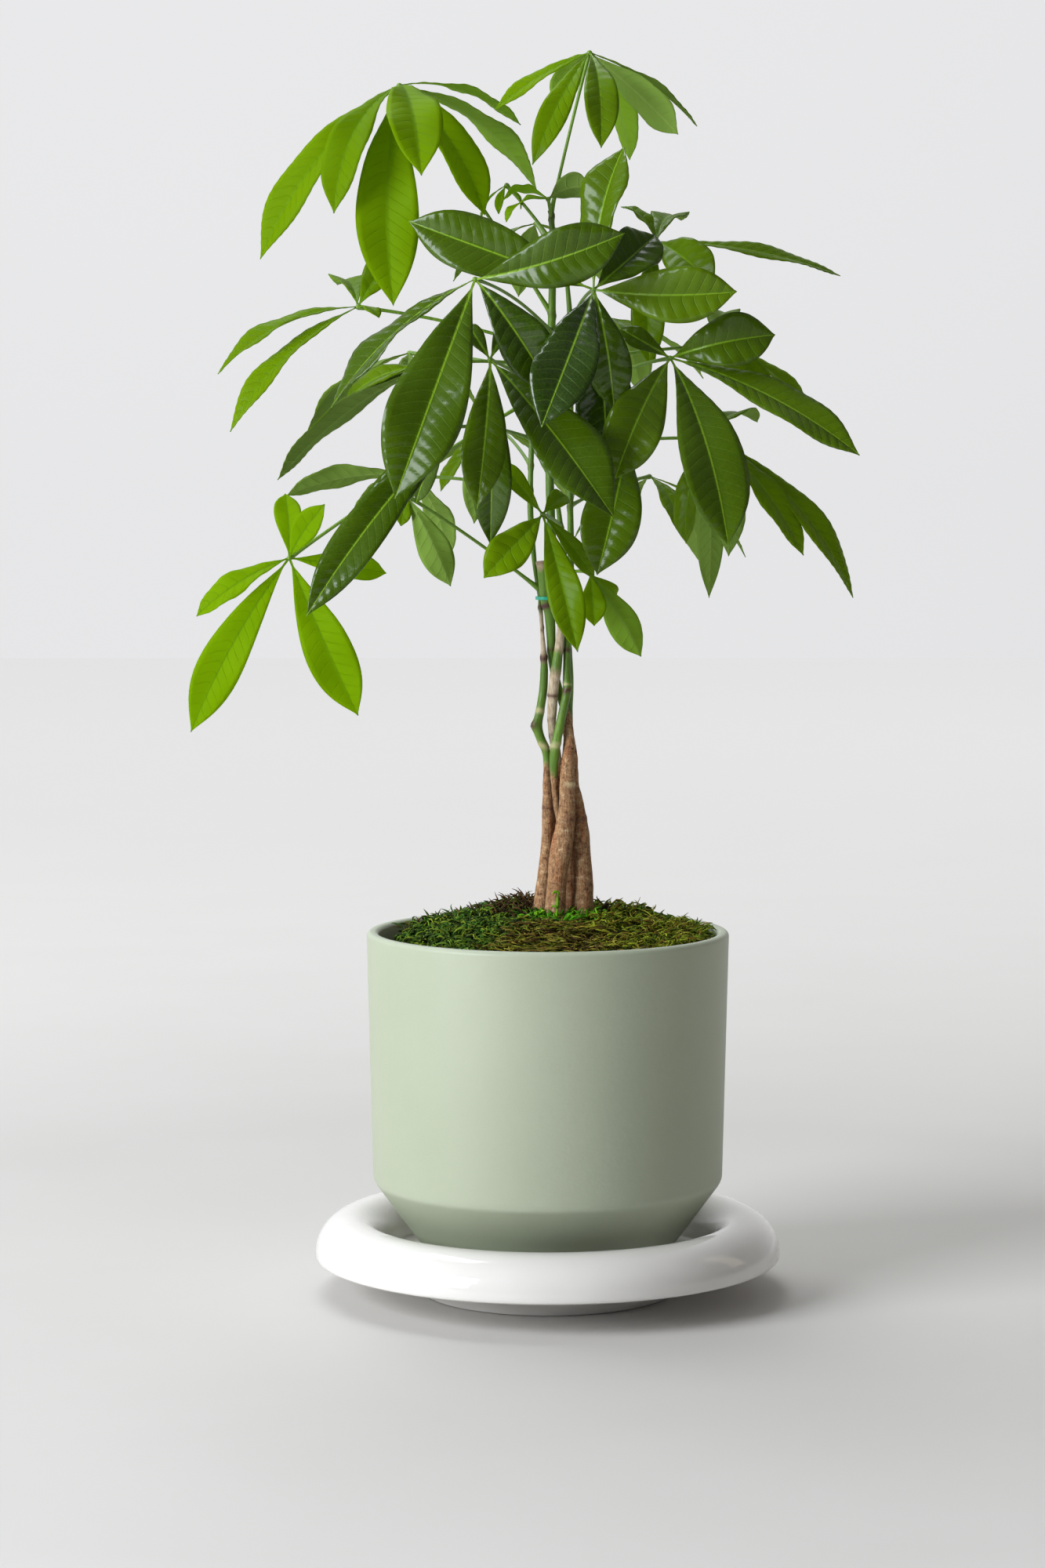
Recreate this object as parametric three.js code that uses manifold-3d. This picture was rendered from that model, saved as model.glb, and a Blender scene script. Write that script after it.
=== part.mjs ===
// A potted money tree: five braided stems with hand-shaped leaves, moss over soil in a pot
// with a chamfered foot, on a glazed saucer with a fat round rim.
// Millimetres, +Z up, origin at the centre of the saucer's foot. -Y is the front.
import * as THREE from "three";
import { mergeVertices } from "three/addons/utils/BufferGeometryUtils.js";
import Module from "manifold-3d";

const wasm = await Module();
wasm.setup();

// Driving dimensions
const GAP = 0.3;
const FOOT_RADIUS = 69;
const SAUCER_RIM = { radius: 103, height: 24.5, halfWidth: 17.5, halfHeight: 12.5 };
const RIM_TURN = { from: -110, to: 205, step: 31.5 };
const SAUCER_FLOOR = 15.7;
const WELL_RADIUS = 74;
const POT_RADIUS = 93;
const POT_TOP = 186.5;
const POT_BASE = SAUCER_FLOOR + GAP;
const POT_BASE_RADIUS = 59;
const POT_INNER_BASE_RADIUS = 54;
const POT_FLOOR = POT_BASE + 7;
const POT_WALL = 6;
const POT_LIP = 2.4;
const SHOULDER = { radius: 90, height: 57 };
const SOIL_TOP = 176;
const MOSS_RADIUS = 81;
const MOSS_CENTRE_X = 4;
const MOSS_LIP = 4;
const MOSS_EDGE = 183;
const MOSS_RISE = 12;
const BLADE_THICKNESS = 0.7;
const PETIOLE_RADIUS = 1.1;
const PETIOLE_TAPER = [1.6, 1.1, 1, 0.95, 1, 1.1];
const HUB_RADIUS = 2.7;
const LATHE_SEGMENTS = 36;
const STEM_SIDES = 8;
const STEM_STEP = 16;
const PETIOLE_SIDES = 4;

const vector = (x, y, z) => new THREE.Vector3(x, y, z);
const radians = THREE.MathUtils.degToRad;

// From a three.js geometry to a solid that can be joined and cut, and back
function solidOf(geometry) {
  const bare = geometry.clone();
  bare.deleteAttribute("normal");
  bare.deleteAttribute("uv");
  const merged = mergeVertices(bare, 1e-3);
  return new wasm.Manifold(
    new wasm.Mesh({
      numProp: 3,
      vertProperties: merged.attributes.position.array,
      triVerts: new Uint32Array(merged.index.array),
    }),
  );
}

function geometryOf(solid) {
  const { vertProperties, triVerts } = solid.getMesh();
  const geometry = new THREE.BufferGeometry();
  geometry.setAttribute("position", new THREE.BufferAttribute(vertProperties, 3));
  geometry.setIndex(new THREE.BufferAttribute(triVerts, 1));
  geometry.computeVertexNormals();
  return geometry;
}

const joined = (solids) => solids.reduce((whole, piece) => whole.add(piece));

// A solid turned from a profile of [radius, height] points that starts and ends on the axis
function turned(path, divisions = 2) {
  const geometry = new THREE.LatheGeometry(path.getPoints(divisions), LATHE_SEGMENTS);
  return geometry.rotateX(Math.PI / 2);
}

// A closed skin over rings of an even number of points; `crossed` names the sides
// whose quads are split along their other diagonal.
function loft(rings, crossed = []) {
  const sides = rings[0].length;
  const index = [];
  for (let i = 0; i + 1 < rings.length; i++) {
    for (let j = 0; j < sides; j++) {
      const a = i * sides + j;
      const b = i * sides + ((j + 1) % sides);
      const c = b + sides;
      const d = a + sides;
      if (crossed.includes(j)) index.push(a, b, d, b, c, d);
      else index.push(a, b, c, a, c, d);
    }
  }
  const last = (rings.length - 1) * sides;
  for (let i = 0; i < sides / 2 - 1; i++) {
    const [a, b, c, d] = [i, i + 1, sides - 2 - i, sides - 1 - i];
    index.push(a, c, b, a, d, c);
    index.push(last + a, last + b, last + c, last + a, last + c, last + d);
  }
  const geometry = new THREE.BufferGeometry().setFromPoints(rings.flat());
  geometry.setIndex(index);
  return geometry;
}

// A round tube through a row of centres, each with its own radius
function tube(centres, radii, sides) {
  const rings = [];
  let side = vector(1, 0.1, 0.2);
  centres.forEach((centre, i) => {
    const before = centres[Math.max(i - 1, 0)];
    const after = centres[Math.min(i + 1, centres.length - 1)];
    const ahead = after.clone().sub(before).normalize();
    side = side.clone().addScaledVector(ahead, -side.dot(ahead)).normalize();
    const other = ahead.clone().cross(side);
    const ring = [];
    for (let k = 0; k < sides; k++) {
      const turn = (k / sides) * 2 * Math.PI;
      const corner = centre.clone().addScaledVector(side, radii[i] * Math.cos(turn));
      ring.push(corner.addScaledVector(other, radii[i] * Math.sin(turn)));
    }
    rings.push(ring);
  });
  return loft(rings);
}

// Pot
function potSolid() {
  const inner = POT_RADIUS - POT_WALL;
  const innerShoulder = SHOULDER.radius - POT_WALL;
  const profile = new THREE.Path();
  profile.moveTo(0, POT_BASE);
  profile.lineTo(POT_BASE_RADIUS - 1.5, POT_BASE);
  profile.quadraticCurveTo(POT_BASE_RADIUS, POT_BASE, POT_BASE_RADIUS + 1, POT_BASE + 1.3);
  profile.lineTo(SHOULDER.radius - 2.2, SHOULDER.height - 2.9);
  profile.quadraticCurveTo(SHOULDER.radius, SHOULDER.height, SHOULDER.radius + 0.1, SHOULDER.height + 3.6);
  profile.lineTo(POT_RADIUS, POT_TOP - POT_LIP);
  profile.quadraticCurveTo(POT_RADIUS, POT_TOP, POT_RADIUS - POT_LIP, POT_TOP);
  profile.lineTo(inner + POT_LIP, POT_TOP);
  profile.quadraticCurveTo(inner, POT_TOP, inner, POT_TOP - POT_LIP);
  profile.lineTo(innerShoulder, SHOULDER.height + 1.5);
  profile.lineTo(POT_INNER_BASE_RADIUS, POT_FLOOR);
  profile.lineTo(0, POT_FLOOR);
  return solidOf(turned(profile));
}

// Saucer: a round foot, a well for the pot and a rim as fat as a ring doughnut
function saucerSolid() {
  const { radius, height, halfWidth, halfHeight } = SAUCER_RIM;
  const profile = new THREE.Path();
  profile.moveTo(0, 0);
  profile.lineTo(FOOT_RADIUS - 1.5, 0);
  profile.quadraticCurveTo(FOOT_RADIUS, 0, FOOT_RADIUS + 0.2, 1.5);
  profile.lineTo(FOOT_RADIUS + 2, 9);
  for (let turn = RIM_TURN.from; turn <= RIM_TURN.to; turn += RIM_TURN.step) {
    const angle = radians(turn);
    profile.lineTo(radius + halfWidth * Math.cos(angle), height + halfHeight * Math.sin(angle));
  }
  profile.quadraticCurveTo(radius - halfWidth - 4, SAUCER_FLOOR + 0.5, WELL_RADIUS, SAUCER_FLOOR);
  profile.lineTo(0, SAUCER_FLOOR);
  return solidOf(turned(profile));
}

// Soil fills the pot to a little below its rim
function soilSolid() {
  const clear = GAP + 0.1;
  const topRadius = POT_RADIUS - POT_WALL - clear - 0.4;
  const profile = new THREE.Path();
  profile.moveTo(0, POT_FLOOR + GAP);
  profile.lineTo(POT_INNER_BASE_RADIUS - clear, POT_FLOOR + GAP);
  profile.lineTo(SHOULDER.radius - POT_WALL - clear, SHOULDER.height + 1.8);
  profile.lineTo(topRadius, SOIL_TOP);
  profile.lineTo(0, SOIL_TOP);
  return solidOf(turned(profile));
}

// Moss lies on the soil as a mound with soft hummocks, nearer the pot's right side
function mossSolid() {
  const profile = new THREE.Path();
  profile.moveTo(0, SOIL_TOP + GAP);
  profile.lineTo(MOSS_RADIUS - 2, SOIL_TOP + GAP);
  profile.lineTo(MOSS_RADIUS, SOIL_TOP + MOSS_LIP);
  for (const part of [0.96, 0.78, 0.56, 0.3, 0]) profile.lineTo(MOSS_RADIUS * part, MOSS_EDGE);
  const geometry = turned(profile);
  const position = geometry.attributes.position;
  for (let i = 0; i < position.count; i++) {
    const [x, y, z] = [position.getX(i), position.getY(i), position.getZ(i)];
    const part = Math.hypot(x, y) / MOSS_RADIUS;
    if (z > SOIL_TOP + MOSS_LIP) position.setZ(i, z + MOSS_RISE * (1 - part * part) + hummock(x, y));
    position.setX(i, x + MOSS_CENTRE_X);
  }
  return solidOf(geometry);
}

function hummock(x, y) {
  const broad = Math.sin(x * 0.11 + 1.3) * Math.cos(y * 0.13 - 0.4);
  const fine = Math.sin(x * 0.27 - y * 0.21 + 0.7);
  return 1.1 * broad + 0.7 * fine;
}

// Stems: [x, y, height, radius] from the root end up. The braid turns loosely round itself
// up to the tie, and the four uncut stems go on into the crown.
const STEMS = {
  stem_right: [
    [20, -3, 154, 3.4], [18.4, -2.4, 180, 5.4], [17.7, -2, 195, 6.0], [18, -1.5, 222, 4.5],
    [16.1, 0, 246, 3.6], [12.6, 2, 261, 3.3], [12.1, 3, 277, 3.0], [10.4, 4.6, 290, 2.8],
    [10.2, 6.6, 300, 2.6], [10.6, 6.6, 310, 2.6], [10.5, 5.2, 320, 2.5], [9.5, 6.2, 336, 2.4],
    [6.2, 6, 347, 2.3], [3.4, 3.9, 357, 2.3], [2, 7, 384, 2.3], [0.9, 9, 424, 2.2],
    [1.4, 7, 464, 2.1], [1.9, 4, 503, 2.0], [2.4, 1, 533, 1.8], [1.4, 0, 553, 1.3],
  ],
  stem_front: [
    [1, -9.5, 154, 3.0], [2.6, -9.4, 180, 4.6], [3.3, -9.2, 195, 4.9], [5.6, -8, 222, 5.2],
    [9.2, -7.2, 246, 4.6], [9.9, -6.2, 261, 3.9], [10.3, -4.6, 277, 3.0], [10.6, -1.8, 290, 2.4],
    [8.5, 0.6, 300, 2.2], [5.5, 3.4, 310, 2.1], [3.2, 4, 320, 2.1], [2, 2.4, 327, 2.1],
    [1.6, 0.5, 336, 2.3], [0.7, -1, 350, 2.7], [-0.9, -1.2, 357, 3.0], [-2.8, -2, 376, 3.2],
  ],
  stem_left: [
    [-9, 1, 154, 2.6], [-6, 0.4, 180, 4.2], [-4.1, 0.2, 195, 4.1], [-0.8, 1.2, 222, 3.5],
    [0.2, 2.2, 246, 2.8], [-0.3, 1, 261, 2.4], [-0.7, 0, 277, 2.0], [-5, -1.5, 290, 2.4],
    [-3.9, -1, 300, 2.2], [-2.4, 0, 310, 2.1], [-1.9, -0.6, 320, 2.0], [-2.3, -1, 329, 1.5],
    [-2.9, -0.6, 339, 1.1], [-3.6, 1.2, 350, 1.0], [-4.2, 3.2, 357, 1.0], [-7, 5.5, 376, 1.3],
    [-9, 8, 404, 1.5], [-8, 11, 444, 1.4], [-6, 12, 478, 1.1],
  ],
  stem_slim: [
    [14, 14, 154, 2.6], [12.4, 11, 180, 4.2], [11.7, 9.8, 195, 4.2], [10.9, 8.2, 222, 3.6],
    [5.8, -0.4, 246, 2.0], [3.3, -3.6, 261, 1.7], [3.2, -5.6, 277, 2.5], [5.6, -6.4, 290, 2.3],
    [7.7, -5.3, 300, 2.2], [9.6, -3, 310, 2.2], [9.6, -1.6, 320, 1.9], [9.9, -0.4, 336, 1.8],
    [10.4, 1.6, 350, 1.7], [10.8, 2.6, 357, 1.7], [11.7, 2, 377, 1.7], [11.3, 2, 406, 1.6],
    [11.4, 1, 444, 1.6], [11.3, -2, 493, 1.4], [9.3, -4, 521, 1.1],
  ],
  stem_pale: [
    [-1, 17, 154, 2.4], [0.6, 13.6, 180, 3.9], [1.3, 12.2, 195, 3.9], [2.9, 10.2, 222, 3.4],
    [3.3, 9.4, 246, 2.9], [5.7, 6.6, 261, 2.6], [4.4, 3.6, 277, 2.4], [2.1, 0.2, 290, 2.2],
    [2.2, -1.6, 300, 2.5], [2.7, -2.6, 310, 2.7], [4, -3.4, 320, 2.8], [6, -3.2, 336, 2.1],
    [7.1, -2.8, 350, 1.7], [7.3, -2.6, 357, 1.6], [8.2, -5.4, 376, 1.5], [6, -8, 396, 1.3],
    [3.9, -9, 412, 1.0],
  ],
};

// A smooth route through a stem's points, with its radius at each step
function stemRoute(points) {
  const curve = new THREE.CatmullRomCurve3(
    points.map(([x, y, z]) => vector(x, y, z)),
    false,
    "catmullrom",
  );
  const spans = points.length - 1;
  const centres = [];
  const radii = [];
  for (let span = 0; span < spans; span++) {
    const length = points[span + 1][2] - points[span][2];
    const steps = Math.max(1, Math.round(length / STEM_STEP));
    const from = radii.length === 0 ? 0 : 1;
    for (let step = from; step <= steps; step++) {
      const part = step / steps;
      centres.push(curve.getPoint((span + part) / spans));
      radii.push(THREE.MathUtils.lerp(points[span][3], points[span + 1][3], part));
    }
  }
  return { centres, radii };
}

function stemSolid(name, swell = 0) {
  const { centres, radii } = stemRoute(STEMS[name]);
  if (swell > 0) centres[0].z -= swell;
  return solidOf(tube(centres, radii.map((radius) => radius + swell), STEM_SIDES));
}

// The centre of a stem at a given height
function stemCentre(name, height) {
  const { centres } = stemRoute(STEMS[name]);
  const above = Math.max(1, centres.findIndex((centre) => centre.z >= height));
  const [low, high] = [centres[above - 1], centres[above]];
  return low.clone().lerp(high, (height - low.z) / (high.z - low.z));
}

// Tie: a thin band drawn round three of the stems
const TIE = { height: 357, width: 2.4, thickness: 0.8, clearance: 0.45, turnStep: 15 };
const TIED = ["stem_front", "stem_right", "stem_left"];

function tieSolid() {
  const rounds = TIED.map((name) => {
    const points = STEMS[name];
    const [x, y, , radius] = points.find(([, , z]) => z === TIE.height);
    return { x, y, radius };
  });
  const outline = (offset) => {
    const points = [];
    for (let turn = 0; turn < 360; turn += TIE.turnStep) {
      const [nx, ny] = [Math.cos(radians(turn)), Math.sin(radians(turn))];
      const reach = ({ x, y, radius }) => x * nx + y * ny + radius;
      const far = rounds.reduce((best, round) => (reach(round) > reach(best) ? round : best));
      const swell = far.radius + offset;
      points.push(new THREE.Vector2(far.x + nx * swell, far.y + ny * swell));
    }
    return points;
  };
  const shape = new THREE.Shape(outline(TIE.clearance + TIE.thickness));
  shape.holes.push(new THREE.Path(outline(TIE.clearance)));
  const band = new THREE.ExtrudeGeometry(shape, { depth: TIE.width, bevelEnabled: false });
  return solidOf(band.translate(0, 0, TIE.height - TIE.width / 2));
}

// Leaves: a petiole from its stem to the hub, and blades from the hub to their tips.
// A blade is [tip x, tip y, tip z, width, arch, roll]: arch bows it towards its upper face,
// and roll turns that face, in degrees, about the line from hub to tip.
const UP = vector(0, 0, 1);
const FRONT = vector(0, -1, 0.35);
const LEAVES = {
  leaf_top_right: {
    stem: "stem_right", height: 552, hub: [21, 10, 633], lift: 3, face: UP,
    blades: [
      [-27, 8, 604, 15, 6, -22], [-8, -22, 574, 17, 9, -20], [26, -35, 581, 22, 10], [42, 32, 581, 18, 8],
      [65, -12, 590, 17, 8, 28], [76, 20, 597, 15, 7], [7, 55, 607, 17, 7],
    ],
  },
  leaf_top_left: {
    stem: "stem_right", height: 501, hub: [-75, -5, 615], lift: 3, face: UP,
    blades: [
      [-144, -25, 527, 23, 14, -42], [-106, -48, 548, 23, 12, -10], [-77, -42, 503, 32, 12],
      [-62, -78, 564, 28, 12], [-32, -22, 549, 23, 12, 38], [-14, 34, 599, 15, 8], [-6, 40, 567, 20, 9, -8],
    ],
  },
  leaf_young_left: {
    stem: "stem_right", height: 537, hub: [-21, 6, 566], lift: 2, face: UP,
    blades: [[-34, 3, 548, 6, 3], [-25, -2, 551, 5, 2], [-14, 4, 554, 5, 2]],
  },
  leaf_young_top: {
    stem: "stem_right", height: 549, hub: [0, -8, 558], lift: 0, face: UP,
    blades: [[-24, -17, 555, 12, 6, 20], [-21, -30, 545, 12, 5, 20], [21, -9, 564, 17, 4, -50]],
  },
  leaf_front_left: {
    stem: "stem_right", height: 492, hub: [-36, -80, 514], lift: 8, face: FRONT,
    blades: [
      [-74, -115, 408, 40, 7], [36, -90, 535, 33, 8, -15], [1, -80, 460, 26, 5],
      [-106, -78, 452, 24, 8, 50],
    ],
  },
  leaf_front_middle: {
    stem: "stem_right", height: 456, hub: [-29, -58, 476], lift: 5, face: FRONT,
    blades: [
      [-35, -92, 403, 22, 7], [-29, -56, 385, 20, 4], [31, -96, 399, 36, 7],
      [-40, -50, 494, 9, 2], [-20, -38, 495, 9, 2],
    ],
  },
  leaf_front_right: {
    stem: "stem_slim", height: 496, hub: [22, -62, 510], lift: 6, face: FRONT,
    blades: [
      [-4, -112, 442, 34, 7], [32, -58, 452, 24, 4], [91, -82, 508, 30, 6, 5],
      [37, -52, 580, 23, 6, 20], [-69, -60, 543, 33, 6, 15], [53, -38, 538, 26, 3],
    ],
  },
  leaf_right: {
    stem: "stem_slim", height: 459, hub: [60, -50, 477], lift: 6, face: FRONT,
    blades: [
      [111, -60, 488, 29, 9, -8], [35, -44, 492, 11, 2], [32, -76, 417, 33, 6],
      [87, -86, 385, 39, 9], [153, -60, 429, 22, 5, -19],
    ],
  },
  leaf_lower_right: {
    stem: "stem_slim", height: 432, hub: [83, 0, 438], lift: 5, face: UP,
    blades: [
      [129, -15, 379, 18, 9, 34], [156, 5, 357, 18, 14, 46], [70, -12, 385, 18, 6],
      [84, 35, 356, 14, 8], [93, 18, 378, 18, 7], [109, 40, 447, 18, 8],
    ],
  },
  leaf_back_right: {
    stem: "stem_right", height: 519, hub: [56, 30, 539], lift: 4, face: UP,
    blades: [
      [151, 35, 522, 15, 6, 30], [84, -5, 515, 20, 5], [38, 45, 558, 13, 4],
      [40, 8, 521, 17, 5], [71, 84, 554, 19, 7], [52, 8, 475, 18, 7],
    ],
  },
  leaf_far_right: {
    stem: "stem_right", height: 474, hub: [86, 25, 486], lift: 4, face: UP,
    blades: [[95, 8, 464, 15, 5], [113, 18, 457, 17, 6, 46], [137, 32, 450, 14, 7, 38], [96, 78, 503, 18, 8]],
  },
  leaf_left: {
    stem: "stem_right", height: 482, hub: [-96, -10, 504], lift: 6, face: UP,
    blades: [
      [-166, -20, 470, 17, 9, -18], [-159, -32, 441, 17, 8, -20], [-79, 14, 527, 18, 5, 30],
      [-85, -22, 498, 9, 2], [-109, 45, 518, 18, 7],
    ],
  },
  leaf_middle_left: {
    stem: "stem_left", height: 475, hub: [-61, -22, 474], lift: 5, face: UP,
    blades: [[-103, -10, 455, 15, 7, -42], [-123, 6, 441, 18, 8, 15], [-135, -38, 417, 20, 8, 38]],
  },
  leaf_glossy_left: {
    stem: "stem_left", height: 438, hub: [-47, -55, 443], lift: 5, face: FRONT,
    blades: [[-118, -92, 351, 23, 7], [-95, -68, 391, 20, 5], [-66, -30, 406, 12, 4]],
  },
  leaf_low_left: {
    stem: "stem_left", height: 459, hub: [-130, -30, 378], lift: 4, face: FRONT,
    blades: [
      [-133, -12, 410, 14, 3], [-111, -50, 405, 14, 3], [-176, -38, 349, 16, 5, 25],
      [-178, -52, 292, 23, 6], [-95, -48, 300, 25, 6], [-82, -14, 370, 15, 4],
    ],
  },
  leaf_hanging_left: {
    stem: "stem_left", height: 362, hub: [-71, -20, 409], lift: 3, face: FRONT,
    blades: [[-74, -28, 394, 8, 1], [-49, -34, 364, 17, -4, 180]],
  },
  leaf_shaded_left: {
    stem: "stem_left", height: 411, hub: [-70, 16, 419], lift: 4, face: UP,
    blades: [[-134, 14, 409, 16, 5, 44], [-98, 50, 392, 17, 7], [-52, 46, 376, 17, 6]],
  },
  leaf_low_middle: {
    stem: "stem_pale", height: 394, hub: [-3, -48, 400], lift: 2, face: FRONT,
    blades: [
      [-32, -72, 369, 20, 4], [14, -78, 333, 18, 5], [-25, -46, 427, 10, 3],
      [23, -32, 368, 10, 2], [9, -30, 409, 11, 2],
    ],
  },
  leaf_round_right: {
    stem: "stem_slim", height: 422, hub: [40, -22, 438], lift: 4, face: FRONT,
    blades: [[24, -50, 370, 31, 6], [36, 14, 394, 18, 5]],
  },
  leaf_low_right: {
    stem: "stem_slim", height: 370, hub: [21, -22, 370], lift: 2, face: FRONT,
    blades: [[23, -32, 344, 13, 2], [47, -18, 328, 17, -4, 180], [33, 2, 354, 12, 3]],
  },
};

// Leaves on the far side, each an even umbrella: its blades fan out from the stem's side
const BACK_LEAVES = {
  leaf_behind_middle: { stem: "stem_right", height: 482, hub: [28, 77, 503], length: 78, droop: 30 },
  leaf_behind_low: { stem: "stem_left", height: 424, hub: [-25, 80, 444], length: 82, droop: 38 },
  leaf_behind_left: { stem: "stem_left", height: 472, hub: [-72, 50, 483], length: 74, droop: 34 },
  leaf_behind_right: { stem: "stem_slim", height: 404, hub: [54, 68, 419], length: 80, droop: 40 },
  leaf_behind_top: { stem: "stem_right", height: 528, hub: [-6, 52, 550], length: 66, droop: 32 },
};
const BACK_BLADES = { count: 5, spread: 240, width: 0.27, arch: 0.1 };

function backBlades({ stem, height, hub, length, droop }) {
  const out = vector(...hub).sub(stemCentre(stem, height));
  const heading = Math.atan2(out.y, out.x);
  const blades = [];
  for (let i = 0; i < BACK_BLADES.count; i++) {
    const part = i / (BACK_BLADES.count - 1) - 0.5;
    const turn = heading + radians(BACK_BLADES.spread * part);
    const reach = length * (1 - 0.35 * Math.abs(part) * 2);
    const flat = reach * Math.cos(radians(droop));
    blades.push([
      hub[0] + flat * Math.cos(turn),
      hub[1] + flat * Math.sin(turn),
      hub[2] - reach * Math.sin(radians(droop)),
      reach * BACK_BLADES.width,
      reach * BACK_BLADES.arch,
    ]);
  }
  return blades;
}

// A blade's half width along its midrib, as a part of the widest, with its short stalk first
const OUTLINE = { stations: [0, 0.22, 0.42, 0.64, 0.85, 1], halfWidths: [0, 0.5, 0.92, 1, 0.6, 0.03] };
const SMALL_OUTLINE = { stations: [0, 0.3, 0.7, 1], halfWidths: [0, 0.78, 0.9, 0.03] };
const SMALL_WIDTH = 17.5;
const STALK = { start: 1.1, halfWidth: 0.7, thickness: 1.3 };
const FOLD = radians(10);

function bladeSolid(hub, face, [x, y, z, width, arch, roll = 0]) {
  const chord = vector(x, y, z).sub(hub);
  const along = chord.clone().normalize();
  const up = face.clone().addScaledVector(along, -face.dot(along)).normalize();
  up.applyAxisAngle(along, radians(roll));
  const across = along.clone().cross(up);
  const { stations, halfWidths } = width < SMALL_WIDTH ? SMALL_OUTLINE : OUTLINE;
  const rings = stations.map((station, i) => {
    const part = Math.max(station, STALK.start / chord.length());
    const middle = hub.clone().addScaledVector(chord, part);
    middle.addScaledVector(up, 4 * arch * part * (1 - part));
    const climb = (4 * arch * (1 - 2 * part)) / chord.length();
    const normal = up.clone().addScaledVector(along, -climb).normalize();
    const half = Math.max(STALK.halfWidth, halfWidths[i] * width * 0.5);
    const thickness = part < 0.1 ? STALK.thickness : BLADE_THICKNESS;
    const corner = (sideways, above) =>
      middle
        .clone()
        .addScaledVector(across, sideways * half * Math.cos(FOLD))
        .addScaledVector(normal, Math.abs(sideways) * half * Math.sin(FOLD) + above * thickness * 0.5);
    return [corner(-1, 1), corner(0, 1), corner(1, 1), corner(1, -1), corner(0, -1), corner(-1, -1)];
  });
  return solidOf(loft(rings, [3, 4]));
}

function petioleSolid(stem, height, hub, lift) {
  const root = stemCentre(stem, height);
  const middle = root.clone().lerp(hub, 0.5).addScaledVector(UP, lift);
  const curve = new THREE.QuadraticBezierCurve3(root, middle, hub);
  const radii = PETIOLE_TAPER.map((part) => part * PETIOLE_RADIUS);
  return solidOf(tube(curve.getPoints(radii.length - 1), radii, PETIOLE_SIDES));
}

function leafSolid({ stem, height, hub, lift = 4, face = UP, blades }) {
  const centre = vector(...hub);
  const ball = new THREE.OctahedronGeometry(HUB_RADIUS, 0).translate(centre.x, centre.y, centre.z);
  const pieces = [
    petioleSolid(stem, height, centre, lift),
    solidOf(ball),
    ...blades.map((blade) => bladeSolid(centre, face, blade)),
  ];
  const bodies = joined(pieces).subtract(grownStems).decompose();
  return bodies.sort((a, b) => b.volume() - a.volume())[0];
}

// Colours and finishes
const finish = (color, roughness, metalness = 0) =>
  new THREE.MeshStandardMaterial({ color, roughness, metalness });
const FINISHES = {
  pot: finish(0xa3b299, 0.62),
  saucer: finish(0xf2f1ee, 0.12),
  soil: finish(0x3a2c20, 0.95),
  moss: finish(0x4f6a1c, 0.95),
  bark: finish(0x8a6a4c, 0.8),
  leaf: finish(0x3f7d14, 0.35),
  tie: finish(0x1fae8c, 0.4),
};

// The whole plant
const plant = new THREE.Group();

function add(name, solid, material) {
  const mesh = new THREE.Mesh(geometryOf(solid), material.clone());
  mesh.name = name;
  plant.add(mesh);
}

const stemNames = Object.keys(STEMS);
const grownStems = joined(stemNames.map((name) => stemSolid(name, GAP + 0.05)));

add("saucer", saucerSolid(), FINISHES.saucer);
add("pot", potSolid(), FINISHES.pot);
add("soil", soilSolid().subtract(grownStems), FINISHES.soil);
add("moss_cover", mossSolid().subtract(grownStems), FINISHES.moss);
for (const name of stemNames) add(name, stemSolid(name), FINISHES.bark);
add("tie", tieSolid(), FINISHES.tie);
for (const [name, leaf] of Object.entries(LEAVES)) add(name, leafSolid(leaf), FINISHES.leaf);
for (const [name, leaf] of Object.entries(BACK_LEAVES))
  add(name, leafSolid({ ...leaf, blades: backBlades(leaf) }), FINISHES.leaf);

export default plant;
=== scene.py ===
# %% [markdown]
# # A potted money tree, dressed round its solids
#
# The plant was first built as plain solids with real sizes: a saucer, a pot, soil, moss, five
# stems that wind round each other, a tie and twenty-five hand-shaped leaves. This lesson loads
# those solids as a fixed frame and gives every one of them its finished surface: rounder clay,
# a moss of thousands of strands, bark with scars, and leaflets that are quilted between veins.
# Sizes in the tables are in millimetres, because that is how such a thing is measured on the
# bench, and `MM` turns them into Blender's metres.

# %% Load the frame
import math
import random

import bpy
import numpy as np
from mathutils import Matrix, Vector, noise


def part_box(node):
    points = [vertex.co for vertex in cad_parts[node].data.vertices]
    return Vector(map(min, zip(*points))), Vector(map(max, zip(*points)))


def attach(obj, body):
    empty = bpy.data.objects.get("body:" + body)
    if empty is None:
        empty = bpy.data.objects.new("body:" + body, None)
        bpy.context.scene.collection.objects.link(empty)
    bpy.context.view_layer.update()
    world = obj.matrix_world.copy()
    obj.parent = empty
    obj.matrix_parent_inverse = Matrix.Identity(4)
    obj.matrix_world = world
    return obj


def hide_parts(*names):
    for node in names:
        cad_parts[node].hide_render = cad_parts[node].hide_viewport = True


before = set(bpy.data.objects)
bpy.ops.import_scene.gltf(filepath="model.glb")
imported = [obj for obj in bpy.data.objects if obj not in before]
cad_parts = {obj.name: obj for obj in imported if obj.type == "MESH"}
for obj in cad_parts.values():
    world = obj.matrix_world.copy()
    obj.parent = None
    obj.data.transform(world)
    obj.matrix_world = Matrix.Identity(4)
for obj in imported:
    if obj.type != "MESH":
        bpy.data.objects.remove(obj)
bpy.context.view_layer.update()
MM = 0.001

# %% [markdown]
# Operators act on whatever is selected, and the loaded solids arrive selected. So each piece
# starts with nothing selected. A finished piece stands at the origin with its place in its mesh,
# rides on the plant's only body, and hides the solids that it stands for.

# %% Small helpers for every piece


def deselect():
    bpy.ops.object.select_all(action="DESELECT")


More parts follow.
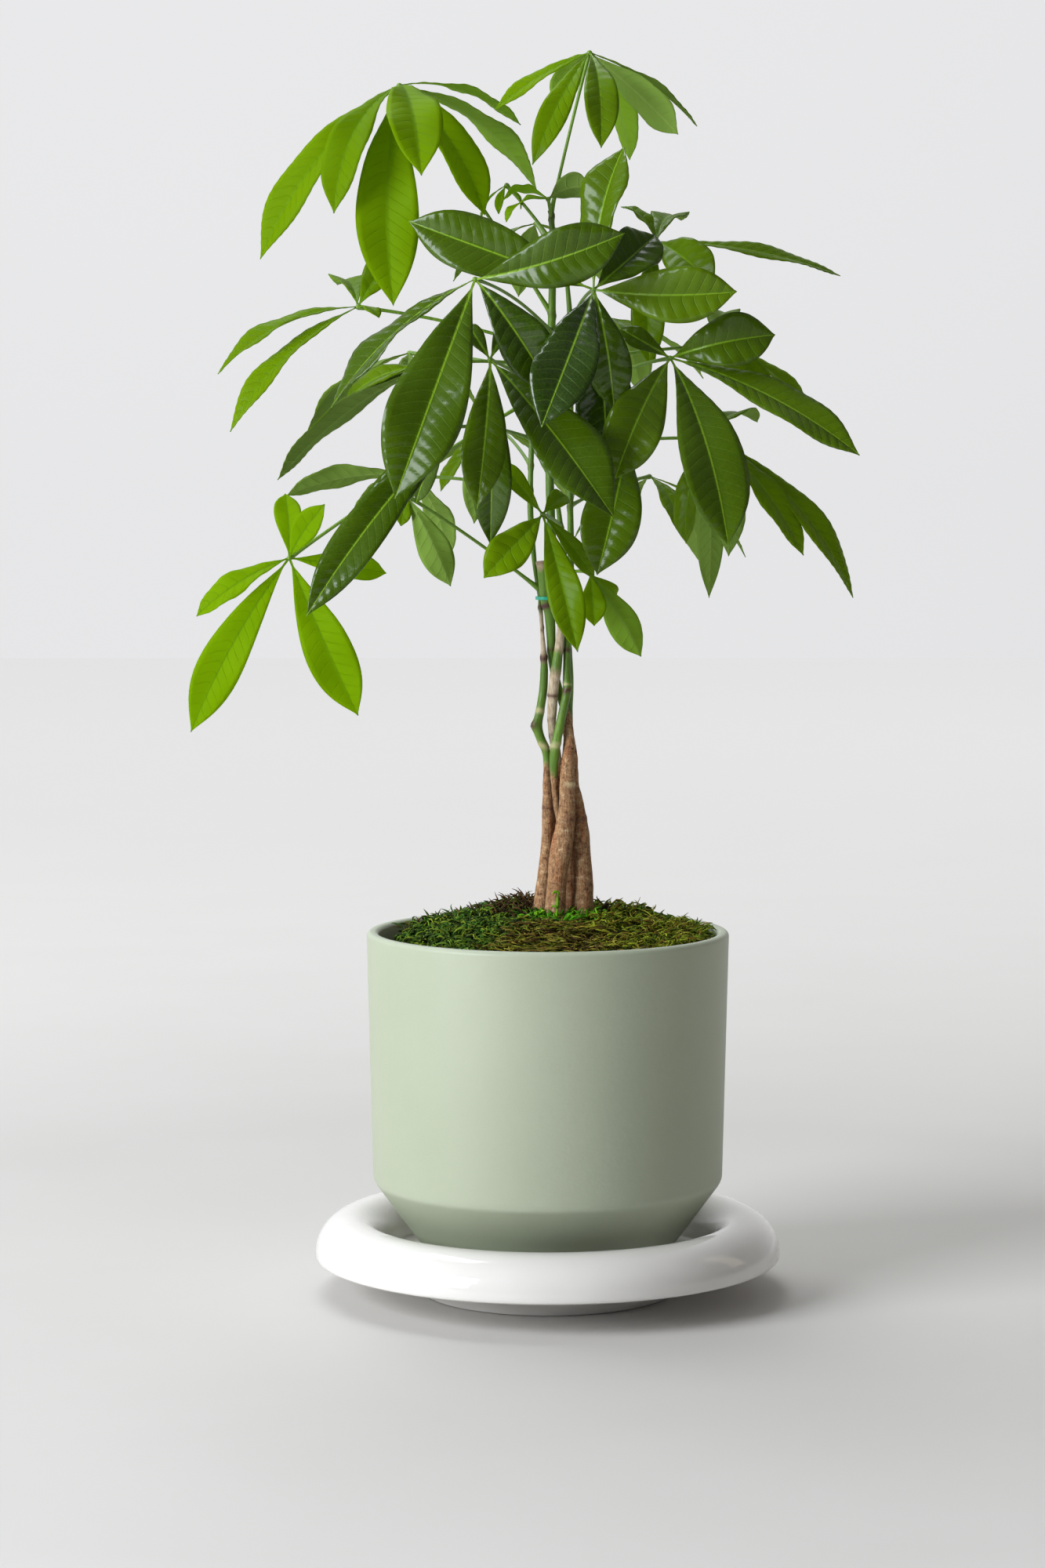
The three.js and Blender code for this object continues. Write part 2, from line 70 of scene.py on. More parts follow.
def choose(*things):
    """Selects these objects alone and makes the first one active."""
    deselect()
    for thing in things:
        thing.select_set(True)
    bpy.context.view_layer.objects.active = things[0]


def settle(piece, slot, *nodes):
    """The last step for each piece: its place goes into its mesh, and it joins the plant."""
    choose(piece)
    bpy.ops.object.transform_apply(location=True, rotation=True, scale=True)
    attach(piece, "root")
    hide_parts(*nodes)
    print(piece.name, "has", sum(len(face.vertices) - 2 for face in piece.data.polygons), "triangles")


def point_values(piece, name, values):
    """Stores a number or three numbers for each point, for the shader to read by that name."""
    values = np.asarray(values, np.float32)
    kind = "FLOAT" if values.ndim == 1 else "FLOAT_VECTOR"
    layer = piece.data.attributes.new(name, kind, "POINT")
    layer.data.foreach_set("value" if values.ndim == 1 else "vector", values.ravel())


def points_of(piece):
    """A mesh's points as rows of x, y, z."""
    flat = np.zeros(len(piece.data.vertices) * 3)
    piece.data.vertices.foreach_get("co", flat)
    return flat.reshape(-1, 3)


def move_points(piece, places):
    piece.data.vertices.foreach_set("co", np.asarray(places, np.float32).ravel())
    piece.data.update()


def face_outwards():
    """Turns all faces of the piece in edit mode outwards, and leaves edit mode."""
    bpy.ops.mesh.select_all(action="SELECT")
    bpy.ops.mesh.normals_make_consistent(inside=False)
    bpy.ops.object.mode_set(mode="OBJECT")


# %% [markdown]
# A shader is easier to read as sums than as a web of nodes. `Wire` wraps one socket: adding or
# multiplying wires adds the Math nodes. `Finish` is a material in the making. Its `node` method
# adds any other node: its kind, its settings, then the values or wires for its sockets.

# %% Shader maths as plain expressions


class Wire:
    """One socket of a shader, so that a sum or a product on it adds a Math node."""

    def __init__(self, finish, socket):
        self.finish = finish
        self.socket = socket

    def maths(self, operation, *values):
        sockets = dict(enumerate(values))
        return self.finish.node("ShaderNodeMath", {"operation": operation}, sockets)

    def __add__(self, other):
        return self.maths("ADD", self, other)

    def __sub__(self, other):
        return self.maths("SUBTRACT", self, other)

    def __rsub__(self, other):
        return self.maths("SUBTRACT", other, self)

    def __mul__(self, other):
        return self.maths("MULTIPLY", self, other)

    def __truediv__(self, other):
        return self.maths("DIVIDE", self, other)

    def __pow__(self, other):
        return self.maths("POWER", self, other)

    def __abs__(self):
        return self.maths("ABSOLUTE", self)

    __radd__ = __add__
    __rmul__ = __mul__

    def held(self):
        """The value kept between 0 and 1."""
        return self.finish.node("ShaderNodeClamp", {}, {"Value": self})


class Finish:
    """A material in the making, or the world's light when its first shader is named."""

    def __init__(self, name, shader="Principled BSDF"):
        kinds = bpy.data.materials if shader == "Principled BSDF" else bpy.data.worlds
        self.material = kinds.new(name)
        self.material.use_nodes = True
        self.tree = self.material.node_tree
        self.shader = self.tree.nodes[shader]

    def join(self, value, socket):
        if isinstance(value, Wire):
            self.tree.links.new(value.socket, socket)
        else:
            socket.default_value = value

    def node(self, kind, settings=None, sockets=None, output=0):
        made = self.tree.nodes.new(kind)
        for name, value in (settings or {}).items():
            if name == "stops":
                self.set_stops(made.color_ramp, value)
            else:
                setattr(made, name, value)
        for key, value in (sockets or {}).items():
            self.join(value, made.inputs[key])
        return Wire(self, made.outputs[output])

    def set_stops(self, ramp, stops):
        while len(ramp.elements) < len(stops):
            ramp.elements.new(1.0)
        for element, (place, colour) in zip(ramp.elements, stops):
            element.position = place
            element.color = colour

    def place(self):
        """The point on the object, in metres."""
        return self.node("ShaderNodeTexCoord", output="Object")

    def stretched(self, place, stretch):
        """The same point with each axis multiplied, to draw a pattern out."""
        return self.node("ShaderNodeVectorMath", {"operation": "MULTIPLY"}, {0: place, 1: stretch})

    def attribute(self, name, output="Vector"):
        """What the points of the piece carry under this name."""
        return self.node("ShaderNodeAttribute", {"attribute_name": name}, output=output)

    def parts(self, vector):
        """The three numbers of a vector, each as a wire of its own."""
        apart = self.node("ShaderNodeSeparateXYZ", {}, {"Vector": vector})
        return [Wire(self, output) for output in apart.socket.node.outputs]

    def cells(self, place, scale, feature="F1"):
        """How far a point is from the middle of its cell, or from its edge."""
        sockets = {"Vector": place, "Scale": scale}
        return self.node("ShaderNodeTexVoronoi", {"feature": feature}, sockets, output="Distance")

    def noise(self, place, scale, detail=3.0, roughness=0.5):
        """Cloudy noise from 0 to 1. Scale is in clouds to the metre."""
        sockets = {"Vector": place, "Scale": scale, "Detail": detail, "Roughness": roughness}
        return self.node("ShaderNodeTexNoise", {}, sockets)

    def mix(self, factor, first, second):
        """One colour turning into another."""
        settings = {"data_type": "RGBA", "clamp_factor": True}
        return self.node("ShaderNodeMix", settings, {0: factor, 6: first, 7: second}, output=2)

    def wear(self, **sockets):
        """Joins values or wires to the Principled shader. Underscores stand for spaces."""
        for name, value in sockets.items():
            self.join(value, self.shader.inputs[name.replace("_", " ")])

    def relief(self, height, distance, strength=1.0):
        """Small relief in the light, from a wire of heights. Distance is in metres."""
        sockets = {"Height": height, "Distance": distance, "Strength": strength}
        self.wear(Normal=self.node("ShaderNodeBump", {}, sockets))


def colour(red, green, blue):
    """A colour as a painter picks it, from 0 to 255, in the linear numbers that shaders use."""
    def linear(part):
        part = part / 255
        return part / 12.92 if part <= 0.04045 else ((part + 0.055) / 1.055) ** 2.4
    return (linear(red), linear(green), linear(blue), 1.0)


print("a mid grey is", round(colour(128, 128, 128)[0], 3), "in linear light")

# %% [markdown]
# The camera stands low, nearly two metres off, looking slightly down. A long lens keeps the
# pot's sides almost straight. The light is a studio's: one large soft panel from the left in
# front, one overhead and slightly behind, and a faint warm strip from the right. The pale room is
# brightest behind the plant as this camera sees it. The floor is plain and pale, and glows more
# the further off it is, so that it meets the room softly in this view.

# %% Camera, light and floor
CAMERA_PLACE = (-13 * MM, -1882 * MM, 414 * MM)
CAMERA_TILT = math.radians(4.622)
FOCAL_PIXELS = 4700
FRAME_HEIGHT_PIXELS = 2000
SENSOR_MM = 36
ROOM_SHADE = 0.04
ROOM_WALL = 0.76
ROOM_WINDOW = 0.16
ROOM_CEILING = 0.24
ROOM_TINT = (0.985, 0.985, 1.0, 1)
FLOOR_FADE = (0.5, 5.5)
FLOOR_GLOW = (0.53, 0.53, 0.537, 1)
FLOOR_SIZE = 14
FLOOR_DROP = 0.2 * MM
BLACK = (0, 0, 0, 1)

bpy.ops.object.camera_add(location=CAMERA_PLACE, rotation=(math.pi / 2 - CAMERA_TILT, 0, 0))
camera = bpy.context.active_object
camera.data.lens = SENSOR_MM * FOCAL_PIXELS / FRAME_HEIGHT_PIXELS
camera.data.sensor_width = SENSOR_MM
bpy.context.scene.camera = camera

# Each light's place and size in metres, its power in watts and its tint.
LIGHTS = {
    "window": ((-2.15, -1.5, 1.2), (1.5, 1.4), 95, (0.92, 0.95, 1.0)),
    "overhead": ((-0.5, 0.9, 2.2), (1.3, 0.9), 22, (0.95, 0.98, 1.0)),
    "strip": ((1.7, 0.5, 0.9), (0.35, 1.1), 1.0, (1.0, 0.84, 0.6)),
}
LIT_POINT = Vector((0, 0, 0.3))

for name, (place, size, power, tint) in LIGHTS.items():
    bpy.ops.object.light_add(type="AREA", location=place)
    lamp = bpy.context.active_object
    lamp.name = name
    lamp.data.shape = "RECTANGLE"
    lamp.data.size, lamp.data.size_y = size
    lamp.data.energy = power
    lamp.data.color = tint
    towards = LIT_POINT - lamp.location
    lamp.rotation_euler = towards.to_track_quat("-Z", "Y").to_euler()

room = Finish("pale_room", shader="Background")
direction = room.node("ShaderNodeTexCoord", output="Generated")
to_right, to_back, to_ceiling = room.parts(direction)
brightness = ROOM_SHADE + to_back.held() ** 2 * ROOM_WALL + (to_right * -1).held() * ROOM_WINDOW
brightness = brightness + to_ceiling.held() * ROOM_CEILING
room.wear(Color=room.mix(brightness, BLACK, ROOM_TINT))
bpy.context.scene.world = room.material
bpy.context.scene.view_settings.view_transform = "Standard"

floor_finish = Finish("pale_floor")
on_floor = floor_finish.place()
floor_clouds = floor_finish.noise(on_floor, 6.0)
floor_reach = floor_finish.node("ShaderNodeVectorMath", {"operation": "LENGTH"}, {0: on_floor}, output=1)
far_off = ((floor_reach - FLOOR_FADE[0]) / (FLOOR_FADE[1] - FLOOR_FADE[0])).held()
far_off = 1 - (1 - far_off) ** 3
floor_finish.wear(
    Base_Color=floor_finish.mix(floor_clouds, colour(208, 206, 202), colour(214, 212, 209)),
    Roughness=0.85,
    Emission_Color=floor_finish.mix(far_off, BLACK, FLOOR_GLOW),
    Emission_Strength=1.0,
)
deselect()
bpy.ops.mesh.primitive_plane_add(size=FLOOR_SIZE, location=(0, 0, -FLOOR_DROP))
floor = bpy.context.active_object
floor.name = "pale_floor"
floor.data.materials.append(floor_finish.material)
print("lens", round(camera.data.lens, 1), "mm")

# %% [markdown]
# Clay is thrown on a wheel, and round pieces are modelled the same way here: a circle is the
# first ring, and each next ring is an extrusion of the last one, scaled to its radius. An arc is
# a loop over an angle, so the fat rim is as round as it likes. A Screw modifier could turn a
# profile too, but the rings keep every edge in one place and close at both ends.

# %% A wheel for the round pieces
CLAY_SEGMENTS = 160
MOSS_SEGMENTS = 120
CLAY_SMOOTH = math.radians(35)


def throw(name, rings, segments=CLAY_SEGMENTS):
    """A closed round piece from rings of (radius, height), from the centre below to the top."""
    deselect()
    (radius, height), *others = rings
    circle = {"vertices": segments, "radius": radius * MM, "location": (0, 0, height * MM)}
    bpy.ops.mesh.primitive_circle_add(fill_type="NGON", **circle)
    piece = bpy.context.active_object
    piece.name = name
    bpy.ops.object.mode_set(mode="EDIT")
    bpy.ops.mesh.select_mode(type="EDGE")
    bpy.ops.mesh.region_to_loop()
    for next_radius, next_height in others:
        rise = {"value": (0, 0, (next_height - height) * MM)}
        bpy.ops.mesh.extrude_edges_move(TRANSFORM_OT_translate=rise)
        spread = next_radius / radius
        centre = (0, 0, next_height * MM)
        bpy.ops.transform.resize(value=(spread, spread, 1), center_override=centre)
        radius, height = next_radius, next_height
    bpy.ops.mesh.edge_face_add()
    face_outwards()
    choose(piece)
    bpy.ops.object.shade_smooth_by_angle(angle=CLAY_SMOOTH)
    return piece


def arc(centre, size, start, stop, steps):
    """Points of (radius, height) on an ellipse between two angles in degrees."""
    turns = np.radians(np.linspace(start, stop, steps + 1))
    return [(centre[0] + size[0] * math.cos(a), centre[1] + size[1] * math.sin(a)) for a in turns]


def bow(start, pull, end, steps):
    """Points of a soft bend from start to end, drawn towards the pull point."""
    start, pull, end = np.array(start), np.array(pull), np.array(end)
    parts = np.linspace(0, 1, steps + 1)
    return [tuple((1 - t) ** 2 * start + 2 * t * (1 - t) * pull + t * t * end) for t in parts]


# %% [markdown]
# The saucer is glazed stoneware. Its white glaze is thick and glossy, a little warmer where it
# pools, and never quite even: that unevenness shows in the reflections, not in the colour. A
# very low, broad relief bends the reflections, and a finer one gives the skin its orange peel.

# %% The saucer's glaze
saucer_glaze = Finish("white_glaze")
on_saucer = saucer_glaze.place()
pooling = saucer_glaze.noise(on_saucer, 22.0, 2.0)
peel = saucer_glaze.noise(on_saucer, 420.0, 2.0)
saucer_glaze.wear(
    Base_Color=saucer_glaze.mix(pooling, colour(226, 223, 218), colour(236, 234, 230)),
    Roughness=0.07 + pooling * 0.06,
    Coat_Weight=0.35,
    Coat_Roughness=0.04,
)
saucer_glaze.relief(pooling * 0.9 + peel * 0.1, 0.0006)
print("glaze nodes:", len(saucer_glaze.tree.nodes))

# %% [markdown]
# The saucer has three forms: a low foot that tucks under the rim, a fat round rim, and a flat
# well that the pot stands in. The rim is widest low down and nearly flat below, so two arcs make
# it, one for the outside and one for the inside, and a tight bend closes its lower edge.

# %% The saucer
saucer_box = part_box("saucer")
RIM_OUT = 19
RIM_IN = 16.5
RIM_RADIUS = saucer_box[1].x / MM - RIM_OUT
RIM_WIDEST = 20.5
RIM_RISE = 19
RIM_UNDERSIDE = 16.6
FOOT_RADIUS = 66.5
SAUCER_FLOOR = 15.7
WELL_RADIUS = 74

foot = bow((FOOT_RADIUS - 1.5, 0), (FOOT_RADIUS, 0), (FOOT_RADIUS + 0.2, 1.5), 4)
outside = arc((RIM_RADIUS, RIM_WIDEST), (RIM_OUT, RIM_RISE), -6, 90, 30)
inside = arc((RIM_RADIUS, RIM_WIDEST), (RIM_IN, RIM_RISE), 90, 185, 26)
well_start = (RIM_RADIUS - RIM_IN - 1, SAUCER_FLOOR + 0.3)
well = bow(inside[-1], well_start, (WELL_RADIUS, SAUCER_FLOOR), 8)
below_rim = (RIM_RADIUS + 8, RIM_UNDERSIDE)
tuck = bow((FOOT_RADIUS + 5, 8), (FOOT_RADIUS + 10, 14.5), below_rim, 8)
edge = bow(below_rim, (RIM_RADIUS + RIM_OUT - 1, RIM_UNDERSIDE), outside[0], 8)
rings = foot + tuck + edge[1:] + outside[1:] + inside[1:] + well[1:]
saucer = throw("saucer_glazed", rings)
saucer.data.materials.append(saucer_glaze.material)
settle(saucer, "saucer", "saucer")

# %% [markdown]
# The pot is stoneware too, but under a matt sage glaze. Close up it has a fine dry grain, faint
# clouds of colour, and a slightly lighter edge where the glaze runs thin over the lip and the
# shoulder. The thin edges are found by height, because the pot is round and upright.

# %% The pot's glaze
POT_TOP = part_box("pot")[1].z / MM
SHOULDER_RADIUS = 90
SHOULDER_HEIGHT = 58

pot_glaze = Finish("sage_glaze")
on_pot = pot_glaze.place()
height_on_pot = pot_glaze.parts(on_pot)[2]
clouds = pot_glaze.noise(on_pot, 14.0, 3.0)
grain = pot_glaze.noise(on_pot, 1500.0, 2.0, 0.6)
dimples = pot_glaze.noise(on_pot, 260.0, 2.0)
near_lip = (1 - abs(height_on_pot - POT_TOP * MM) / (2.2 * MM)).held()
near_shoulder = (1 - abs(height_on_pot - SHOULDER_HEIGHT * MM) / (2.5 * MM)).held()
sage = pot_glaze.mix(clouds, colour(166, 174, 150), colour(175, 183, 160))
sage = pot_glaze.mix(grain * 0.25, sage, colour(150, 157, 135))
# Painted shade: the glaze darkens below the shoulder, towards the foot.
painted_shade_below_shoulder = ((SHOULDER_HEIGHT * MM - height_on_pot) / (30 * MM)).held()
sage = pot_glaze.mix(painted_shade_below_shoulder ** 0.5 * 0.34, sage, colour(104, 115, 92))
sage = pot_glaze.mix(near_lip * 0.35 + near_shoulder * 0.18, sage, colour(198, 207, 188))
pot_glaze.wear(Base_Color=sage, Roughness=0.4 + grain * 0.14)
pot_glaze.relief(grain * 0.35 + dimples * 0.65, 0.00012)
print("pot stands", round(POT_TOP), "mm high")

# %% [markdown]
# The pot's outside is a chamfered foot, a soft shoulder and a wall that flares by 3 mm to a
# rounded lip. Inside, the wall goes down past the moss to a floor that the soil hides, so that
# the pot is a real vessel from every side.

# %% The pot
POT_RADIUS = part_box("pot")[1].x / MM
POT_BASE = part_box("pot")[0].z / MM
POT_BASE_RADIUS = 59
POT_WALL = 6
POT_LIP = 2.4
POT_INNER_BASE = 54
POT_FLOOR = POT_BASE + 7
inner = POT_RADIUS - POT_WALL

base_edge = bow(
    (POT_BASE_RADIUS - 1.5, POT_BASE),
    (POT_BASE_RADIUS, POT_BASE),
    (POT_BASE_RADIUS + 1, POT_BASE + 1.3),
    4,
)
shoulder = bow(
    (SHOULDER_RADIUS - 1.9, SHOULDER_HEIGHT - 2.4),
    (SHOULDER_RADIUS, SHOULDER_HEIGHT),
    (SHOULDER_RADIUS + 0.1, SHOULDER_HEIGHT + 3),
    8,
)
lip_out = arc((POT_RADIUS - POT_LIP, POT_TOP - POT_LIP), (POT_LIP, POT_LIP), 0, 90, 8)
lip_in = arc((inner + POT_LIP, POT_TOP - POT_LIP), (POT_LIP, POT_LIP), 90, 180, 8)
inside = [(SHOULDER_RADIUS - POT_WALL, SHOULDER_HEIGHT + 1.5), (POT_INNER_BASE, POT_FLOOR)]
pot = throw("pot_sage", base_edge + shoulder + lip_out + lip_in + inside)
pot.data.materials.append(pot_glaze.material)
settle(pot, "pot", "pot")

# %% [markdown]
# Under the moss lies dark potting mix. Only a narrow ring of it shows between the moss and the
# pot's wall. It is a thrown disc with a flat top, whose grain is relief in the light, and a few
# hundred crumbs of bark and grit are scattered round its edge.

# %% The soil
SOIL_TOP = 176
SOIL_GAP = 0.4
SOIL_INNERMOST = 66
SOIL_RING_STEP = 1.5
CRUMB_COUNT = 420
CRUMB_NEAREST = 70
CRUMB_SIZES = (0.5, 1.5)
CRUMB_SEED = 11

soil_finish = Finish("potting_mix")
on_soil = soil_finish.place()
crumb_cells = soil_finish.cells(on_soil, 420.0)
soil_specks = soil_finish.noise(on_soil, 700.0, 4.0)
soil_colour = soil_finish.mix(soil_specks, colour(28, 20, 14), colour(74, 57, 40))
soil_finish.wear(Base_Color=soil_colour, Roughness=0.92)
soil_finish.relief(crumb_cells * 0.7 + soil_specks * 0.3, 0.0012)

soil_rings = [
    (POT_INNER_BASE - SOIL_GAP, POT_FLOOR + SOIL_GAP),
    (SHOULDER_RADIUS - POT_WALL - SOIL_GAP, SHOULDER_HEIGHT + 1.8),
    (inner - 2 * SOIL_GAP, SOIL_TOP),
]
ring_radii = np.arange(inner - 2, SOIL_INNERMOST, -SOIL_RING_STEP)
soil_rings += [(radius, SOIL_TOP) for radius in ring_radii]
soil_body = throw("soil_mix", soil_rings)
soil_body.data.materials.append(soil_finish.material)

deselect()
bpy.ops.mesh.primitive_ico_sphere_add(subdivisions=1, radius=MM)
first_crumb = bpy.context.active_object
first_crumb.data.materials.append(soil_finish.material)
crumbs = [first_crumb]
while len(crumbs) < CRUMB_COUNT:
    crumb = first_crumb.copy()
    crumb.data = first_crumb.data.copy()
    bpy.context.scene.collection.objects.link(crumb)
    crumbs.append(crumb)

crumbs_drawn = random.Random(CRUMB_SEED)
for crumb in crumbs:
    turn = crumbs_drawn.uniform(0, 2 * math.pi)
    reach = crumbs_drawn.uniform(CRUMB_NEAREST, inner - 2)
    size = crumbs_drawn.uniform(*CRUMB_SIZES)
    height = SOIL_TOP + size * 0.4
    crumb.location = (reach * math.cos(turn) * MM, reach * math.sin(turn) * MM, height * MM)
    crumb.rotation_euler = [crumbs_drawn.uniform(0, 6) for _ in range(3)]
    crumb.scale = (size * crumbs_drawn.uniform(0.8, 1.5), size, size * crumbs_drawn.uniform(0.5, 1))
choose(soil_body, *crumbs)
bpy.ops.object.join()
settle(soil_body, "soil", "soil")

# %% [markdown]
# The moss is a cushion of many kinds that grow into each other. First comes its ground: a flat
# closed disc with a rounded edge. Its dark colour is painted shade, because it is seen only
# between the shoots. A formula gives the cushion's height: the solid's dome and hummocks, with
# clumps and a few tufts. The shoots start at that height. The disc doesn't follow it yet, so
# nearly all of them start above the disc, by up to 16 mm.

# %% The moss mound
MOSS_RADIUS = 81
MOSS_CENTRE_X = 4
MOSS_EDGE = 183
MOSS_RISE = 12

# Where the shoots start higher, in tufts: x and y from the moss's own middle, how far a tuft
# reaches and how high it stands.
MOSS_TUFTS = [
    (-36, -2, 9, 5), (-22, 10, 8, 6), (-12, 22, 9, 5), (-52, -22, 10, 3), (-64, 4, 9, 2), (33, 8, 8, 6),
    (46, 20, 9, 3), (27, -22, 9, 2.5), (58, -14, 9, 3), (4, -44, 12, 2), (-26, -40, 9, 2), (20, 46, 14, 3),
    (-30, 48, 14, 4), (70, 12, 8, 2),
]


def moss_height(x, y):
    """How high the moss's shoots start at a place, in millimetres."""
    x -= MOSS_CENTRE_X
    part = math.hypot(x, y) / MOSS_RADIUS
    broad = 1.1 * math.sin(x * 0.11 + 1.3) * math.cos(y * 0.13 - 0.4)
    fine = 0.7 * math.sin(x * 0.27 - y * 0.21 + 0.7)
    clumps = 1.6 * noise.noise(Vector((x * 0.12, y * 0.12, 3)))
    clumps += 0.8 * noise.noise(Vector((x * 0.4, y * 0.4, 9)))
    tufts = sum(
        height * math.exp(-((x - tuft_x) ** 2 + (y - tuft_y) ** 2) / reach ** 2)
        for tuft_x, tuft_y, reach, height in MOSS_TUFTS
    )
    return MOSS_EDGE + MOSS_RISE * (1 - part * part) + broad + fine + clumps + tufts


ground_finish = Finish("moss_ground")
ground_clouds = ground_finish.noise(ground_finish.place(), 160.0, 4.0)
# Painted shade: the ground is dark, because it is seen only between the shoots.
ground_finish.wear(
    Base_Color=ground_finish.mix(ground_clouds, colour(26, 30, 10), colour(66, 74, 22)),
    Roughness=0.95,
)
ground_finish.relief(ground_clouds, 0.002)

mound_rings = [(MOSS_RADIUS - 2, SOIL_TOP + 0.3), (MOSS_RADIUS, SOIL_TOP + 4)]
mound_rings += [(radius, MOSS_EDGE) for radius in np.arange(MOSS_RADIUS - 1, 1, -2)]
mound = throw("moss_mound", mound_rings, MOSS_SEGMENTS)
mound_points = points_of(mound)
mound_points[:, 0] += MOSS_CENTRE_X * MM
move_points(mound, mound_points)
mound.data.materials.append(ground_finish.material)
settle(mound, "moss", "moss_cover")

# %% [markdown]
# Thousands of shoots grow over it. Each is one spline of a single curve object, with a radius
# at each point, so that it is feathered like a shoot with tiny leaves. A shoot starts in a
# heading and a slope, then turns and droops a little at each step. Curves turn to meshes in one
# step, and every shoot keeps its own colour as an attribute on its points. The caps come first
# in the new mesh, last shoot to first, and then the sides, first shoot to last.

# %% Shoots of moss
SHOOT_SIDES = 4
SHOOT_FEATHER = [0.7, 1.15, 0.65, 1.05, 0.6, 0.2]


def shoot_route(start, heading, slope, length, turn, droop, steps=len(SHOOT_FEATHER) - 1):
    """Points of a shoot in millimetres. Heading, slope, turn and droop are in degrees."""
    points = [Vector(start)]
    for _ in range(steps):
        flat = math.cos(math.radians(slope))
        ahead = Vector((
            flat * math.cos(math.radians(heading)),
            flat * math.sin(math.radians(heading)),
            math.sin(math.radians(slope)),
        ))
        points.append(points[-1] + ahead * (length / steps))
        heading += turn / steps
        slope -= droop / steps
    return points


def close_ends(piece):
    """Merges the caps of a converted curve with its sides, and turns all faces outwards."""
    choose(piece)
    bpy.ops.object.mode_set(mode="EDIT")
    bpy.ops.mesh.select_all(action="SELECT")
    bpy.ops.mesh.remove_doubles(threshold=1e-6)
    face_outwards()


def tubes(name, routes, resolution):
    """One mesh of round tubes, each given as its places in millimetres and its radii."""
    curve = bpy.data.curves.new(name, "CURVE")
    curve.dimensions = "3D"
    curve.bevel_depth = MM
    curve.bevel_resolution = resolution
    curve.use_fill_caps = True
    for places, radii in routes:
        spline = curve.splines.new("POLY")
        spline.points.add(len(places) - 1)
        for point, place, radius in zip(spline.points, places, radii):
            point.co = (*(Vector(place) * MM), 1)
            point.radius = radius
    piece = bpy.data.objects.new(name, curve)
    bpy.context.scene.collection.objects.link(piece)
    choose(piece)
    bpy.ops.object.convert(target="MESH")
    return bpy.context.active_object


def grow(name, shoots, finish):
    """One mesh from many shoots, each given as (points, radius, colour)."""
    routes = [(points, [radius * part for part in SHOOT_FEATHER]) for points, radius, _ in shoots]
    piece = tubes(name, routes, 0)
    tints = [tint for _, _, tint in shoots]
    on_caps = np.repeat(tints[::-1], 2 * SHOOT_SIDES, axis=0)
    on_sides = np.repeat(tints, SHOOT_SIDES * len(SHOOT_FEATHER), axis=0)
    point_values(piece, "shoot_tint", np.vstack([on_caps, on_sides]))
    close_ends(piece)
    piece.data.materials.append(finish.material)
    return piece


shoot_finish = Finish("moss_shoots")
shoot_specks = shoot_finish.noise(shoot_finish.place(), 900.0, 2.0)
tint_of_shoot = shoot_finish.attribute("shoot_tint")
shoot_finish.wear(
    Base_Color=shoot_finish.mix(shoot_specks * 0.5, tint_of_shoot, colour(34, 44, 8)),
    Roughness=0.8,
    Specular_IOR_Level=0.15,
)
shoot_finish.relief(shoot_specks, 0.0004)
print("a shoot has", SHOOT_SIDES * len(SHOOT_FEATHER), "points")

# %% [markdown]
# The kinds keep to their own ground. Dark ferny curls fill the left, dry brown tufts stand
# behind them, thin brown fibres lie in front of the trunk, yellow-green mats cover the right and
# a fleshy bright green crowds round the stems. Each kind has a home and a reach, and a little
# chance at the borders mixes them.

# %% Kinds of moss
# Each row is a kind's home, its reach, the ranges of its radius, length, slope and droop, how far
# it may turn, and its tints.
MOSS_KINDS = [
    ((-50, -25), 48, (0.3, 0.62), (5, 10), (5, 60), (60, 200), 170,
     [(54, 84, 18), (62, 108, 24), (94, 120, 22), (34, 54, 12), (100, 134, 38), (126, 142, 36)]),
    ((-36, 38), 44, (0.38, 0.6), (6, 11), (20, 75), (40, 170), 160,
     [(60, 96, 28), (44, 74, 20), (104, 122, 34), (84, 60, 34)]),
    ((-14, 14), 26, (0.32, 0.5), (6, 12), (45, 88), (30, 200), 170,
     [(80, 50, 34), (58, 34, 26), (110, 80, 46), (90, 104, 34)]),
    ((4, -54), 34, (0.28, 0.46), (7, 14), (-5, 25), (0, 50), 160,
     [(112, 90, 34), (140, 124, 40), (78, 54, 22), (130, 134, 30), (98, 110, 22), (156, 146, 60)]),
    ((52, -22), 48, (0.24, 0.56), (5, 11), (0, 55), (30, 170), 190,
     [(132, 144, 26), (108, 128, 20), (158, 156, 48), (80, 98, 16), (128, 104, 34), (150, 160, 40)]),
    ((44, 40), 44, (0.34, 0.58), (5, 11), (10, 65), (30, 170), 180,
     [(116, 140, 30), (92, 124, 24), (66, 94, 20), (136, 122, 46)]),
    ((7, -14), 21, (0.55, 0.95), (4, 8), (15, 80), (20, 120), 100,
     [(78, 150, 14), (100, 172, 20), (54, 116, 12), (136, 190, 36)]),
]
BORDER_CHANCE = 0.35
SHOOTS_IN_ALL = 6400
SHOOT_SEED = 5
ROOT_DEPTH = 0.4
TRUNK_CENTRE = (6, 2)
TRUNK_REACH = 15


def kind_at(x, y, drawn):
    """The kind of moss at a place: the one whose home is nearest for its reach."""
    def distance(kind):
        (home_x, home_y), reach = kind[:2]
        far = math.hypot(x - home_x, y - home_y) / reach
        return far + drawn.uniform(-BORDER_CHANCE, BORDER_CHANCE)
    return min(MOSS_KINDS, key=distance)


